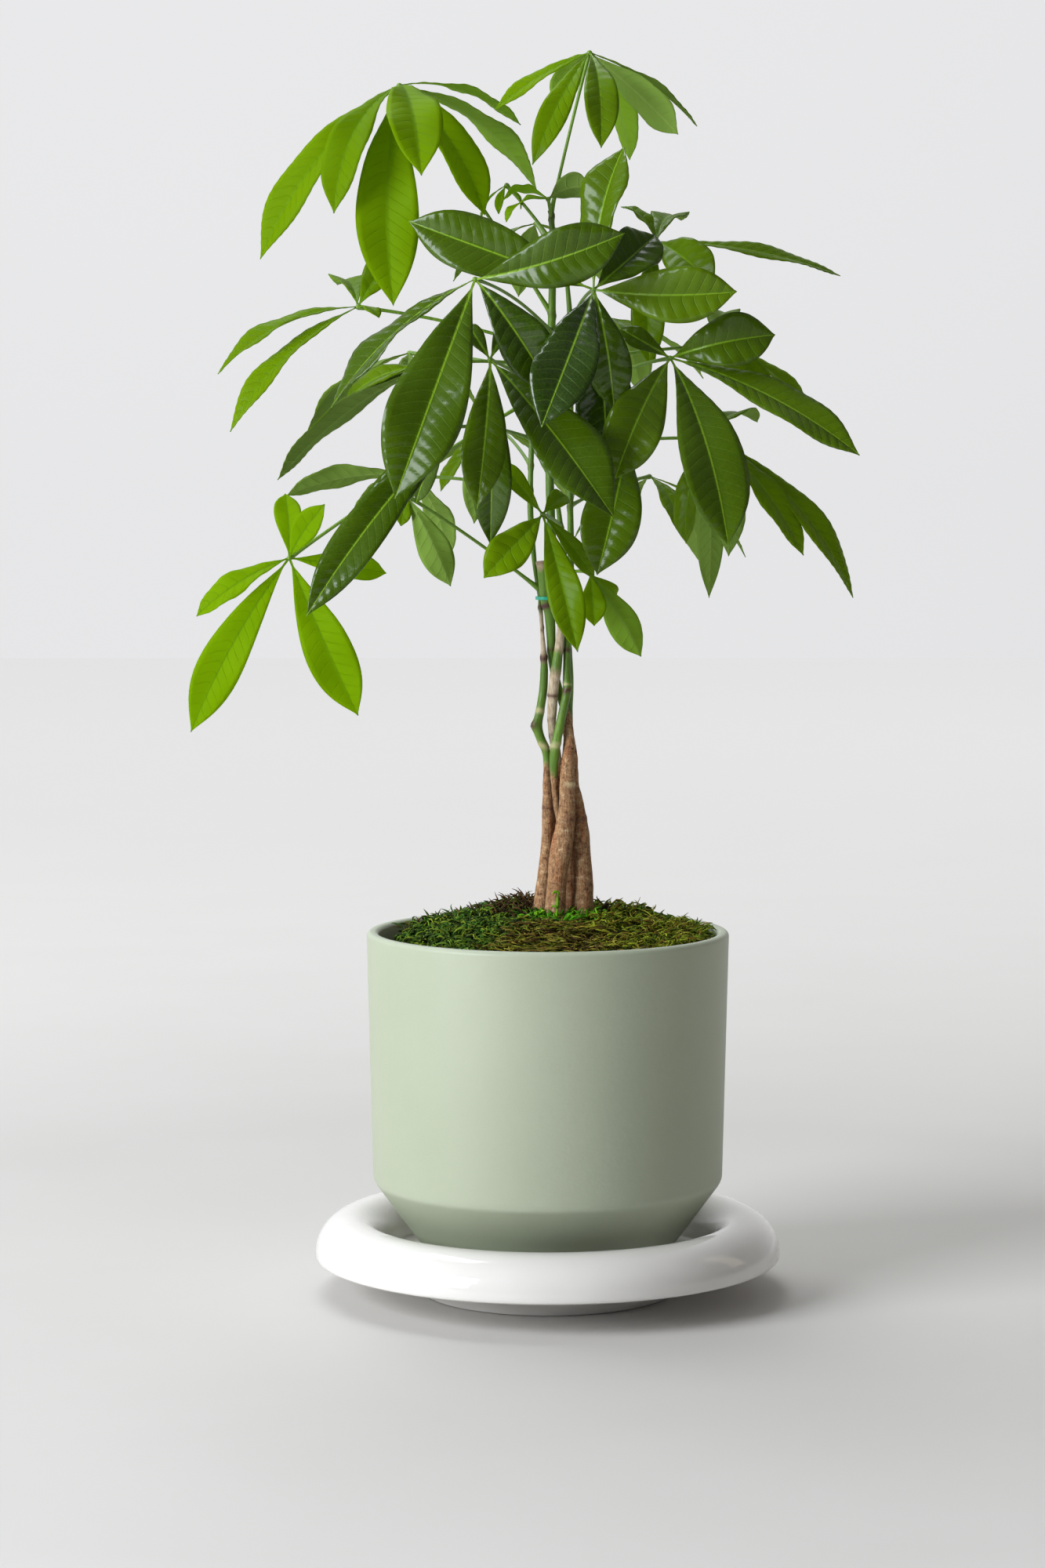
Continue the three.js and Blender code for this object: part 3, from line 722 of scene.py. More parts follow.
def moss_shoots(count, drawn):
    shoots = []
    while len(shoots) < count:
        turn = drawn.uniform(0, 2 * math.pi)
        reach = (MOSS_RADIUS - 1.5) * math.sqrt(drawn.random())
        x = MOSS_CENTRE_X + reach * math.cos(turn)
        y = reach * math.sin(turn)
        if math.hypot(x - TRUNK_CENTRE[0], y - TRUNK_CENTRE[1]) < TRUNK_REACH * drawn.uniform(0.55, 1):
            continue
        _, _, radius, length, slope, droop, bend, tints = kind_at(x, y, drawn)
        flow = 360 * noise.noise(Vector((x * 0.045, y * 0.045, 5)))
        points = shoot_route(
            (x, y, moss_height(x, y) - ROOT_DEPTH),
            math.degrees(turn) * 0.3 + flow * 2.2 + drawn.gauss(0, 45),
            drawn.uniform(*slope),
            drawn.uniform(*length),
            drawn.uniform(-bend, bend),
            drawn.uniform(*droop),
        )
        tint = Vector(colour(*drawn.choice(tints))[:3]) * drawn.uniform(0.6, 1.45)
        shoots.append((points, drawn.uniform(*radius), tint))
    return shoots


# A seedling between the stems, a stray sprig and a few dry curls: start, heading, slope, length,
# turn, droop, radius and colour.
SPROUTS = [
    ((3.6, -18, 193), 10, 76, 16, 150, -20, 0.75, (112, 178, 22)),
    ((5.4, -18.5, 207), 170, 70, 5, 60, 190, 0.75, (124, 190, 30)),
    ((4.6, -18.4, 200), 185, 50, 4, -60, 120, 0.6, (116, 184, 26)),
    ((41, 6, 191), 20, 52, 14, 20, -10, 0.42, (126, 110, 48)),
    ((44, 6, 197), 80, 60, 6, 30, 60, 0.4, (120, 122, 40)),
    ((28, 4, 196), 10, 70, 12, 160, 190, 0.75, (70, 46, 30)),
    ((31, 3, 195), 60, 80, 10, 140, 200, 0.6, (92, 62, 38)),
    ((35, 6, 194), 120, 78, 11, -150, 150, 0.55, (64, 40, 28)),
    ((-20, 14, 196), 150, 75, 11, 150, 170, 0.6, (58, 36, 26)),
    ((-14, 18, 198), 60, 80, 10, -140, 150, 0.55, (84, 54, 34)),
    ((-30, 2, 196), 100, 70, 10, 100, 120, 0.6, (66, 108, 40)),
]

all_shoots = moss_shoots(SHOOTS_IN_ALL, random.Random(SHOOT_SEED))
for *route, radius, tint in SPROUTS:
    all_shoots.append((shoot_route(*route), radius, Vector(colour(*tint)[:3])))
half_way = SHOOTS_IN_ALL // 2
for name, some in (("moss_shoots_a", all_shoots[:half_way]), ("moss_shoots_b", all_shoots[half_way:])):
    settle(grow(name, some, shoot_finish), "moss")

# %% [markdown]
# The stems are curves too. Each follows the same smooth route as its solid, in steps of a
# millimetre and a half, and then gets its bark: lumps along the trunk, rings where leaves once
# grew, a swelling where each leaf stalk leaves. The skin changes from brown bark to green, or
# to a bleached beige, at heights that are written down for each stem.

# %% The stems' routes and marks
# Each row is x, y, height and radius.
STEMS = {
    "stem_right": [
        (20, -3, 154, 3.4), (18.4, -2.4, 180, 5.4), (17.7, -2, 195, 6.0), (18, -1.5, 222, 4.5),
        (16.1, 0, 246, 3.6), (12.6, 2, 261, 3.3), (12.1, 3, 277, 3.0), (10.4, 4.6, 290, 2.8),
        (10.2, 6.6, 300, 2.6), (10.6, 6.6, 310, 2.6), (10.5, 5.2, 320, 2.5), (9.5, 6.2, 336, 2.4),
        (6.2, 6, 347, 2.3), (3.4, 3.9, 357, 2.3), (2, 7, 384, 2.3), (0.9, 9, 424, 2.2),
        (1.4, 7, 464, 2.1), (1.9, 4, 503, 2.0), (2.4, 1, 533, 1.8), (1.4, 0, 553, 1.3),
    ],
    "stem_front": [
        (1, -9.5, 154, 3.0), (2.6, -9.4, 180, 4.6), (3.3, -9.2, 195, 4.9), (5.6, -8, 222, 5.2),
        (9.2, -7.2, 246, 4.6), (9.9, -6.2, 261, 3.9), (10.3, -4.6, 277, 3.0), (10.6, -1.8, 290, 2.4),
        (8.5, 0.6, 300, 2.2), (5.5, 3.4, 310, 2.1), (3.2, 4, 320, 2.1), (2, 2.4, 327, 2.1),
        (1.6, 0.5, 336, 2.3), (0.7, -1, 350, 2.7), (-0.9, -1.2, 357, 3.0), (-2.8, -2, 376, 3.2),
    ],
    "stem_left": [
        (-9, 1, 154, 2.6), (-6, 0.4, 180, 4.2), (-4.1, 0.2, 195, 4.1), (-0.8, 1.2, 222, 3.5),
        (0.2, 2.2, 246, 2.8), (-0.3, 1, 261, 2.4), (-0.7, 0, 277, 2.0), (-5, -1.5, 290, 2.4),
        (-3.9, -1, 300, 2.2), (-2.4, 0, 310, 2.1), (-1.9, -0.6, 320, 2.0), (-2.3, -1, 329, 1.5),
        (-2.9, -0.6, 339, 1.1), (-3.6, 1.2, 350, 1.0), (-4.2, 3.2, 357, 1.0), (-7, 5.5, 376, 1.3),
        (-9, 8, 404, 1.5), (-8, 11, 444, 1.4), (-6, 12, 478, 1.1),
    ],
    "stem_slim": [
        (14, 14, 154, 2.6), (12.4, 11, 180, 4.2), (11.7, 9.8, 195, 4.2), (10.9, 8.2, 222, 3.6),
        (5.8, -0.4, 246, 2.0), (3.3, -3.6, 261, 1.7), (3.2, -5.6, 277, 2.5), (5.6, -6.4, 290, 2.3),
        (7.7, -5.3, 300, 2.2), (9.6, -3, 310, 2.2), (9.6, -1.6, 320, 1.9), (9.9, -0.4, 336, 1.8),
        (10.4, 1.6, 350, 1.7), (10.8, 2.6, 357, 1.7), (11.7, 2, 377, 1.7), (11.3, 2, 406, 1.6),
        (11.4, 1, 444, 1.6), (11.3, -2, 493, 1.4), (9.3, -4, 521, 1.1),
    ],
    "stem_pale": [
        (-1, 17, 154, 2.4), (0.6, 13.6, 180, 3.9), (1.3, 12.2, 195, 3.9), (2.9, 10.2, 222, 3.4),
        (3.3, 9.4, 246, 2.9), (5.7, 6.6, 261, 2.6), (4.4, 3.6, 277, 2.4), (2.1, 0.2, 290, 2.2),
        (2.2, -1.6, 300, 2.5), (2.7, -2.6, 310, 2.7), (4, -3.4, 320, 2.8), (6, -3.2, 336, 2.1),
        (7.1, -2.8, 350, 1.7), (7.3, -2.6, 357, 1.6), (8.2, -5.4, 376, 1.5), (6, -8, 396, 1.3),
        (3.9, -9, 412, 1.0),
    ],
}

# From which height a stem wears which skin.
STEM_SKINS = {
    "stem_right": [(0, "bark"), (297, "green")],
    "stem_front": [(0, "bark"), (300, "green"), (373, "pale")],
    "stem_left": [(0, "bark"), (272, "green"), (327, "pale"), (350, "green")],
    "stem_slim": [(0, "bark"), (267, "green")],
    "stem_pale": [(0, "bark"), (272, "pale"), (319, "green"), (331, "pale"), (345, "green")],
}

# Rings and knobs: height, half height, how far it swells, how dark (1) or pale (-1) it is, and
# for a scar on one side alone, which way it faces in degrees: -90 is the front.
STEM_MARKS = {
    "stem_right": [(245, 1.6, 0.4, 0.5, -60), (233, 9, 0.9, 0, 180), (330, 1.2, 0.3, 0.8, -90)],
    "stem_front": [
        (233, 9, 0.9, 0, 0), (245, 1.2, 0.3, 0.45, -40), (263, 1.1, 0.5, -0.9, -30),
        (330, 1.0, 0.3, 0.8), (353.4, 1.4, 0.4, 1.2, -130), (374.5, 1.4, 0.6, 0.5),
    ],
    "stem_left": [
        (249, 1.2, 0.3, 0.6), (282, 1.8, 0.5, -0.6), (292, 2.4, 1.4, 1.0, 180),
        (299, 1.1, 0.2, -0.6), (327, 1.7, 0.5, 1.3), (341, 0.9, 0.3, 0.8, -60), (353, 1.6, 0.5, 1.0),
    ],
    "stem_slim": [
        (283, 1.5, 0.4, -0.6), (310, 1.7, 0.5, 1.2, -80), (313.5, 0.9, 0.2, -0.7),
        (330, 1.3, 0.4, 1.1, -110),
    ],
    "stem_pale": [(308, 1.0, 0.3, 0.9), (286, 1.0, 0.2, 0.5), (296, 1.0, 0.3, 0.5, -120)],
}


def stem_route(name, step=1.5):
    """Rows of x, y, height and radius along a stem, on the same smooth curve as its solid."""
    rows = np.array(STEMS[name], float)
    padded = np.vstack([2 * rows[0] - rows[1], rows, 2 * rows[-1] - rows[-2]])
    route = []
    for before, start, end, after in zip(padded, padded[1:], padded[2:], padded[3:]):
        leave, arrive = (end - before) / 2, (after - start) / 2
        for part in np.arange(0, 1, step / (end[2] - start[2])):
            bend = 2 * start - 2 * end + leave + arrive
            lean = -3 * start + 3 * end - 2 * leave - arrive
            point = bend * part ** 3 + lean * part ** 2 + leave * part + start
            point[3] = start[3] + (end[3] - start[3]) * part
            route.append(point)
    route.append(rows[-1])
    return np.array(route)


def stem_centre(name, height):
    route = stem_route(name)
    return np.array([np.interp(height, route[:, 2], route[:, axis]) for axis in range(3)])


for name in STEMS:
    print(name, "is", round(stem_route(name)[-1][2] - SOIL_TOP), "mm tall above the soil")

# %% [markdown]
# One bark finish serves all five stems. Where the skin changes is read from attributes on the
# points. The brown bark has streaks drawn out along the stem, warm patches, pale and dark
# blotches, fine specks and a few pale lenticels. The green skin is smoother and glossier, with
# faint long streaks, and the beige one is dry. Where two stems nearly touch, it turns dark:
# painted shade in the crevice, with some dirt.

# %% Bark
BARK_STRETCH = (1, 1, 0.22)

bark = Finish("bark")
on_bark = bark.place()
along_bark = bark.stretched(on_bark, BARK_STRETCH)
streaks = bark.noise(along_bark, 900.0, 5.0, 0.6)
patches = bark.noise(along_bark, 190.0, 3.0)
fibres = bark.noise(along_bark, 2600.0, 2.0)
specks = bark.noise(on_bark, 1100.0, 3.0)
blotches = bark.noise(bark.stretched(on_bark, (1, 1, 1.6)), 260.0, 4.0, 0.6)
lenticel_cells = bark.cells(bark.stretched(on_bark, (1, 1, 1.9)), 330.0)
lenticels = (1 - lenticel_cells / 0.2).held() * (blotches * 5 - 2.2).held()
is_green, is_pale, ring = bark.parts(bark.attribute("stem_skin"))
is_bark = (1 - is_green - is_pale).held()

brown = bark.mix(((streaks - 0.5) * 2 + 0.5).held(), colour(100, 66, 40), colour(190, 146, 100))
brown = bark.mix((patches * 4 - 1.95).held() * 0.7, brown, colour(168, 98, 54))
brown = bark.mix((blotches * 6 - 3.3).held() * 0.7, brown, colour(212, 186, 146))
brown = bark.mix((0.46 - blotches).held() * 6, brown, colour(86, 46, 26))
brown = bark.mix((0.42 - streaks).held() * 4, brown, colour(60, 38, 24))
brown = bark.mix(((specks - 0.5) * 4).held() * 0.4, brown, colour(220, 178, 132))
brown = bark.mix(((0.5 - specks) * 4).held() * 0.42, brown, colour(62, 32, 18))
brown = bark.mix(lenticels * 0.5, brown, colour(206, 180, 140))
green = bark.mix(((patches - 0.5) * 2 + 0.5).held(), colour(46, 84, 6), colour(96, 138, 18))
green = bark.mix(fibres * 0.3, green, colour(130, 162, 50))
beige = bark.mix(((streaks - 0.5) * 2 + 0.5).held(), colour(140, 116, 86), colour(218, 204, 178))
skin_colour = bark.mix(is_pale, bark.mix(is_green, brown, green), beige)
skin_colour = bark.mix(ring.held(), skin_colour, colour(70, 28, 18))
skin_colour = bark.mix((ring * -1).held(), skin_colour, colour(214, 196, 150))
# Painted shade, with some dirt, where two stems nearly touch.
skin_colour = bark.mix(bark.attribute("stem_crevice", "Fac"), skin_colour, colour(26, 14, 8))
bark.wear(Base_Color=skin_colour, Roughness=0.76 - is_green * 0.4 + streaks * 0.1)
bark.relief(is_bark * (streaks * 0.7 + lenticels * 0.3) + fibres * 0.18, 0.0012)
print("bark nodes:", len(bark.tree.nodes))

# %% [markdown]
# The leaves come next in the tables, because a stem swells a little where each leaf stalk
# leaves it. Each leaf gives its stem, the height there, the place of its hub, how far the stalk
# bows up, which way its leaflets face, and how old it is: 0 is a bright young leaf, 1 a deep
# green one. A leaflet's row is its tip, its width, how far it arches, where needed its roll in
# degrees, and last how much darker its colour is than its leaf's: partly its own tone, and
# partly painted shade for leaflets that lie in the others' shadow. A minus there means lighter,
# partly as painted light.

# %% The leaves' tables
UP = (0, 0, 1)
FRONT = (0, -1, 0.35)


def leaf_on(stem, height, hub, lift, face, age, *blades):
    """A leaf's values by name, so that the table below holds only the values."""
    leaf = {"stem": stem, "height": height, "hub": hub, "lift": lift, "face": face, "age": age}
    return {**leaf, "blades": blades}


LEAVES = {
    "top_right": leaf_on(
        "stem_right", 552, (21, 10, 633), 3, UP, 0.35,
        (-27, 8, 604, 11, 3, -40), (-8, -22, 574, 15, 9, -30, 0.1), (26, -35, 581, 18, 8, 0, 0.25),
        (42, 32, 581, 18, 8, 0, -0.2), (65, -12, 590, 19, 3, -75, 0.2), (76, 20, 597, 13, 4, 0, 0.2),
        (7, 55, 607, 17, 7),
    ),
    "top_left": leaf_on(
        "stem_right", 501, (-75, -5, 615), 3, UP, 0.3,
        (-144, -25, 527, 23, 14, -42), (-106, -48, 548, 23, 12, -10), (-77, -42, 503, 32, 12),
        (-62, -78, 564, 28, 12), (-32, -22, 549, 23, 12, 38), (-14, 34, 599, 15, 8),
        (-6, 40, 567, 20, 9, -8),
    ),
    "young_left": leaf_on(
        "stem_right", 537, (-21, 6, 566), 2, UP, 0.1,
        (-34, 3, 548, 6, 3), (-25, -2, 551, 5, 2), (-14, 4, 554, 5, 2),
    ),
    "young_top": leaf_on(
        "stem_right", 549, (0, -8, 558), 0, UP, 0.1,
        (-24, -17, 555, 12, 6, 20), (-21, -30, 545, 12, 5, 20), (21, -9, 564, 17, 4, -50, 0.6),
    ),
    "front_left": leaf_on(
        "stem_right", 492, (-36, -80, 514), 8, FRONT, 0.95,
        (-74, -115, 408, 38, 7), (36, -98, 535, 29, 8, 24, 0.05), (1, -80, 460, 26, 5, 0, 0.4),
        (-106, -78, 452, 24, 8, 50),
    ),
    "front_middle": leaf_on(
        "stem_right", 456, (-29, -58, 476), 5, FRONT, 0.9,
        (-35, -92, 403, 22, 7), (-29, -56, 385, 20, 4, 0, 0.2), (31, -96, 399, 34, 7, -12, 0.1),
        (-40, -50, 494, 9, 2), (-20, -38, 495, 9, 2),
    ),
    "front_right": leaf_on(
        "stem_slim", 496, (22, -62, 510), 6, FRONT, 1.0,
        (-4, -112, 442, 31, 7, 0, 0.5), (32, -58, 452, 22, 4, 0, 0.1), (91, -82, 508, 28, 6, 25, -0.15),
        (37, -52, 580, 27, 6, -38, -0.1), (-69, -50, 544, 30, 6, -10, 0.05), (53, -38, 538, 26, 3),
        (29, -46, 417, 30, 3, 0, 0.45),
    ),
    "right": leaf_on(
        "stem_slim", 459, (60, -50, 477), 6, FRONT, 0.85,
        (111, -60, 488, 27, 9, 12), (35, -44, 492, 11, 2), (32, -76, 417, 29, 6, 0, 0.1),
        (87, -86, 385, 34, 9, -12, 0.1), (153, -60, 429, 22, 5, -19, 0.1),
    ),
    "lower_right": leaf_on(
        "stem_slim", 432, (83, 0, 438), 5, UP, 0.6,
        (129, -15, 379, 18, 9, 34), (156, 5, 357, 18, 14, 46), (70, -12, 385, 18, 6),
        (84, 35, 356, 14, 8), (93, 18, 378, 18, 7), (109, 40, 447, 18, 8),
    ),
    "back_right": leaf_on(
        "stem_right", 519, (56, 30, 539), 4, UP, 0.6,
        (151, 35, 522, 15, 6, 30, 0.1), (84, -5, 515, 24, 5, 45), (38, 45, 558, 13, 4),
        (40, 8, 521, 17, 5), (71, 84, 554, 19, 7), (52, 8, 475, 18, 7),
    ),
    "far_right": leaf_on(
        "stem_right", 474, (86, 25, 486), 4, UP, 0.5,
        (95, 8, 464, 15, 5), (113, 18, 457, 17, 6, 46), (137, 32, 450, 14, 7, 38), (96, 78, 503, 18, 8),
    ),
    "left": leaf_on(
        "stem_right", 482, (-96, -10, 504), 6, UP, 0.45,
        (-166, -20, 470, 17, 9, -18), (-159, -32, 441, 17, 8, -20), (-79, 14, 527, 18, 5, 30),
        (-85, -22, 498, 9, 2), (-109, 45, 518, 18, 7),
    ),
    "middle_left": leaf_on(
        "stem_left", 475, (-61, -22, 474), 5, UP, 0.7,
        (-103, -10, 455, 15, 7, -42), (-123, 6, 441, 18, 8, 15), (-135, -38, 417, 20, 8, 38),
        (-110, -16, 447, 8, 3, 10),
    ),
    "glossy_left": leaf_on(
        "stem_left", 438, (-47, -55, 443), 5, FRONT, 1.0,
        (-118, -92, 351, 23, 7), (-95, -68, 391, 20, 5), (-66, -30, 406, 12, 4),
    ),
    "low_left": leaf_on(
        "stem_left", 459, (-130, -30, 378), 4, FRONT, 0.05,
        (-133, -12, 410, 14, 3), (-111, -50, 405, 14, 3), (-176, -38, 349, 16, 5, 25),
        (-178, -52, 292, 23, 6), (-95, -48, 300, 25, 6), (-82, -14, 370, 15, 4),
    ),
    "hanging_left": leaf_on(
        "stem_left", 362, (-71, -20, 409), 3, FRONT, 0.5,
        (-74, -28, 394, 8, 1), (-49, -34, 364, 17, -4, 180),
    ),
    "shaded_left": leaf_on(
        "stem_left", 411, (-70, 16, 419), 4, UP, 0.6,
        (-134, 14, 409, 16, 5, 44), (-98, 50, 392, 17, 7), (-52, 46, 376, 17, 6),
    ),
    "low_middle": leaf_on(
        "stem_pale", 394, (-3, -48, 400), 2, FRONT, 0.5,
        (-32, -72, 369, 20, 4), (14, -78, 333, 18, 5), (-25, -46, 427, 10, 3),
        (23, -32, 368, 10, 2), (9, -30, 409, 11, 2),
    ),
    "round_right": leaf_on(
        "stem_slim", 422, (40, -22, 438), 4, FRONT, 0.9,
        (24, -50, 370, 30, 6, 0, 0.1), (36, 14, 394, 18, 5),
    ),
    "low_right": leaf_on(
        "stem_slim", 370, (21, -22, 370), 2, FRONT, 0.4,
        (23, -32, 344, 13, 2), (47, -18, 328, 17, -4, 180, -0.2), (33, 2, 354, 12, 3),
    ),
}

# The leaves on the far side are even umbrellas: their leaflets fan out from the stem. Each row is
# the stem, the height there, the hub, the longest leaflet and how far they droop in degrees.
BACK_LEAVES = {
    "behind_middle": ("stem_right", 482, (28, 77, 503), 78, 30),
    "behind_low": ("stem_left", 424, (-25, 80, 444), 82, 38),
    "behind_left": ("stem_left", 472, (-72, 50, 483), 74, 34),
    "behind_right": ("stem_slim", 404, (54, 68, 419), 80, 40),
    "behind_top": ("stem_right", 528, (-6, 52, 550), 66, 32),
}
BACK_BLADES = 5
BACK_SPREAD = 240
BACK_SHORTER = 0.7
BACK_WIDTH = 0.27
BACK_ARCH = 0.1
BACK_LIFT = 4
BACK_AGE = 0.6


def back_blades(stem, height, hub, length, droop):
    """The rows of an umbrella's leaflets: the middle one is the longest."""
    out = np.array(hub) - stem_centre(stem, height)
    heading = math.atan2(out[1], out[0])
    droop = math.radians(droop)
    rows = []
    for part in np.linspace(-0.5, 0.5, BACK_BLADES):
        turn = heading + math.radians(BACK_SPREAD * part)
        reach = length * (1 - BACK_SHORTER * abs(part))
        flat = reach * math.cos(droop)
        tip = np.array(hub) + (flat * math.cos(turn), flat * math.sin(turn), -reach * math.sin(droop))
        rows.append((*tip, reach * BACK_WIDTH, reach * BACK_ARCH))
    return rows


for name, row in BACK_LEAVES.items():
    LEAVES[name] = leaf_on(*row[:3], BACK_LIFT, UP, BACK_AGE, *back_blades(*row))
print(len(LEAVES), "leaves,", sum(len(leaf["blades"]) for leaf in LEAVES.values()), "leaflets")

# %% [markdown]
# A stem starts as a curve with a radius at each point, turned into a mesh of twenty sides. Then
# each point moves out or in from the stem's centre: broad lumps, fine bark, rings and knobs.

# %% The stems
STEM_RESOLUTION = 8
CREVICE_REACH = 1.5
SKIN_CHANGE = 5
TUBE_SMOOTH = math.radians(50)


def tube_along(name, points, radii, resolution, finish):
    """A closed round tube through points in millimetres, as a mesh."""
    piece = tubes(name, [(points, radii)], resolution)
    close_ends(piece)
    bpy.ops.object.shade_smooth_by_angle(angle=TUBE_SMOOTH)
    piece.data.materials.append(finish.material)
    return piece


def leaf_nodes(name):
    """Where leaf stalks leave this stem, as marks."""
    heights = {leaf["height"] for leaf in LEAVES.values() if leaf["stem"] == name}
    return [(height, 1.3, 0.45, 0.35) for height in sorted(heights)]


def skin_share(name, kind, heights):
    """How far the skin at these heights is of one kind, with soft changes."""
    bands = STEM_SKINS[name]
    share = np.zeros(len(heights))
    for (start, skin), (end, _) in zip(bands, bands[1:] + [(10000, None)]):
        if skin == kind:
            begun = np.clip((heights - start) / SKIN_CHANGE + 0.5, 0, 1)
            share += begun * np.clip((end - heights) / SKIN_CHANGE + 0.5, 0, 1)
    return share


def near_others(name, points):
    """1 where a point touches another stem, falling to 0 a little further off."""
    near = np.zeros(len(points))
    for other in STEMS:
        if other != name:
            route = stem_route(other)
            centre = [np.interp(points[:, 2], route[:, 2], route[:, axis]) for axis in range(4)]
            gap = np.hypot(points[:, 0] - centre[0], points[:, 1] - centre[1]) - centre[3]
            near = np.maximum(near, np.exp(-(np.maximum(gap, 0) / CREVICE_REACH) ** 2))
    return near


def make_stem(name):
    route = stem_route(name)
    stem = tube_along(name + "_bark", route[:, :3], route[:, 3], STEM_RESOLUTION, bark)
    points = points_of(stem) / MM
    centres = np.array([np.interp(points[:, 2], route[:, 2], route[:, axis]) for axis in range(3)]).T
    outward = points - centres
    outward[:, 2] = 0
    reach = np.linalg.norm(outward, axis=1)
    outward /= np.maximum(reach, 0.01)[:, None]
    woody = skin_share(name, "bark", points[:, 2])
    swell = np.zeros(len(points))
    ring_tone = np.zeros(len(points))
    for height, half, rise, tone, *facing in STEM_MARKS[name] + leaf_nodes(name):
        lean = 0.9 * outward[:, 0] * math.sin(height) + 0.9 * outward[:, 1] * math.cos(height)
        near = np.exp(-(((points[:, 2] - height - lean) / half) ** 2))
        for turn in facing:
            way = (math.cos(math.radians(turn)), math.sin(math.radians(turn)))
            near *= np.clip(0.2 + 1.1 * (outward[:, :2] @ way), 0, 1)
        swell += rise * near
        ring_tone += tone * near
    for index, (x, y, z) in enumerate(points):
        lumps = noise.noise(Vector((x * 0.16, y * 0.16, z * 0.05)))
        rough = noise.noise(Vector((x * 0.8, y * 0.8, z * 0.22)))
        swell[index] += (0.22 + 0.4 * woody[index]) * lumps + (0.04 + 0.2 * woody[index]) * rough
    move_points(stem, (points + outward * swell[:, None]) * MM)
    wander = np.array([2.5 * noise.noise(Vector(point) * 0.35) for point in points])
    kinds = [skin_share(name, kind, points[:, 2] + wander) for kind in ("green", "pale")]
    point_values(stem, "stem_skin", np.array([*kinds, np.clip(ring_tone, -1, 1)]).T)
    # How near each point is to another stem, for the painted shade and dirt in the crevices.
    point_values(stem, "stem_crevice", near_others(name, points) * (0.4 + 0.5 * woody))
    settle(stem, "bark", name)


for name in STEMS:
    make_stem(name)

# %% [markdown]
# The tie is a thin soft plastic band. It follows the outline that a taut band takes round three
# of the stems. A circle takes that outline, is drawn up to the band's width, gets its thickness,
# and its edges are rounded.

# %% The tie
TIE_HEIGHT = 357
TIE_WIDTH = 2.4
TIE_THICKNESS = 0.8
TIE_CLEARANCE = 0.45
TIE_EDGE = 0.3
TIED = ("stem_front", "stem_right", "stem_left")
TIE_POINTS = 96

tie_finish = Finish("teal_band")
band_clouds = tie_finish.noise(tie_finish.place(), 700.0, 2.0)
tie_finish.wear(
    Base_Color=tie_finish.mix(band_clouds, colour(16, 150, 118), colour(40, 186, 152)),
    Roughness=0.38,
)
tie_finish.relief(band_clouds, 0.0001)


def taut_outline(x, y):
    """The place on the taut band that faces this way from the braid's middle."""
    rounds = [next(row for row in STEMS[name] if row[2] == TIE_HEIGHT) for name in TIED]
    far = max(rounds, key=lambda row: row[0] * x + row[1] * y + row[3])
    swell = far[3] + TIE_CLEARANCE + TIE_THICKNESS / 2
    return far[0] + x * swell, far[1] + y * swell


deselect()
low_edge = (TIE_HEIGHT - TIE_WIDTH / 2 + TIE_EDGE) * MM
bpy.ops.mesh.primitive_circle_add(vertices=TIE_POINTS, radius=MM, location=(0, 0, low_edge))
tie = bpy.context.active_object
tie.name = "teal_tie"
for point in tie.data.vertices:
    x, y = taut_outline(point.co.x / MM, point.co.y / MM)
    point.co = (x * MM, y * MM, 0)
bpy.ops.object.mode_set(mode="EDIT")
bpy.ops.mesh.select_all(action="SELECT")
rise = {"value": (0, 0, (TIE_WIDTH - 2 * TIE_EDGE) * MM)}
bpy.ops.mesh.extrude_region_move(TRANSFORM_OT_translate=rise)
face_outwards()
wall = tie.modifiers.new("wall", "SOLIDIFY")
wall.thickness = (TIE_THICKNESS - 0.1) * MM
wall.offset = 0
edges = tie.modifiers.new("edges", "BEVEL")
edges.width = 0.25 * MM
edges.segments = 3
choose(tie)
bpy.ops.object.modifier_apply(modifier="wall")
bpy.ops.object.modifier_apply(modifier="edges")
bpy.ops.object.shade_smooth_by_angle(angle=TUBE_SMOOTH)
tie.data.materials.append(tie_finish.material)
settle(tie, "tie", "tie")

# %% [markdown]
# A leaflet is a thin sheet whose side veins quilt it: between each pair of veins it bulges up.
# The finish has to know where it is on the leaflet, so each point stores how far it is from the
# midrib, how far along, and a number that counts the side veins. Young leaves are bright and
# let light through, so that their veins show darker. Old ones are deep green and glossy, with
# lighter veins.

# %% The leaves' finish
SIDE_VEIN_SHOW = 0.16
LIGHT_THROUGH = (0.52, 0.74, 0.0, 1)


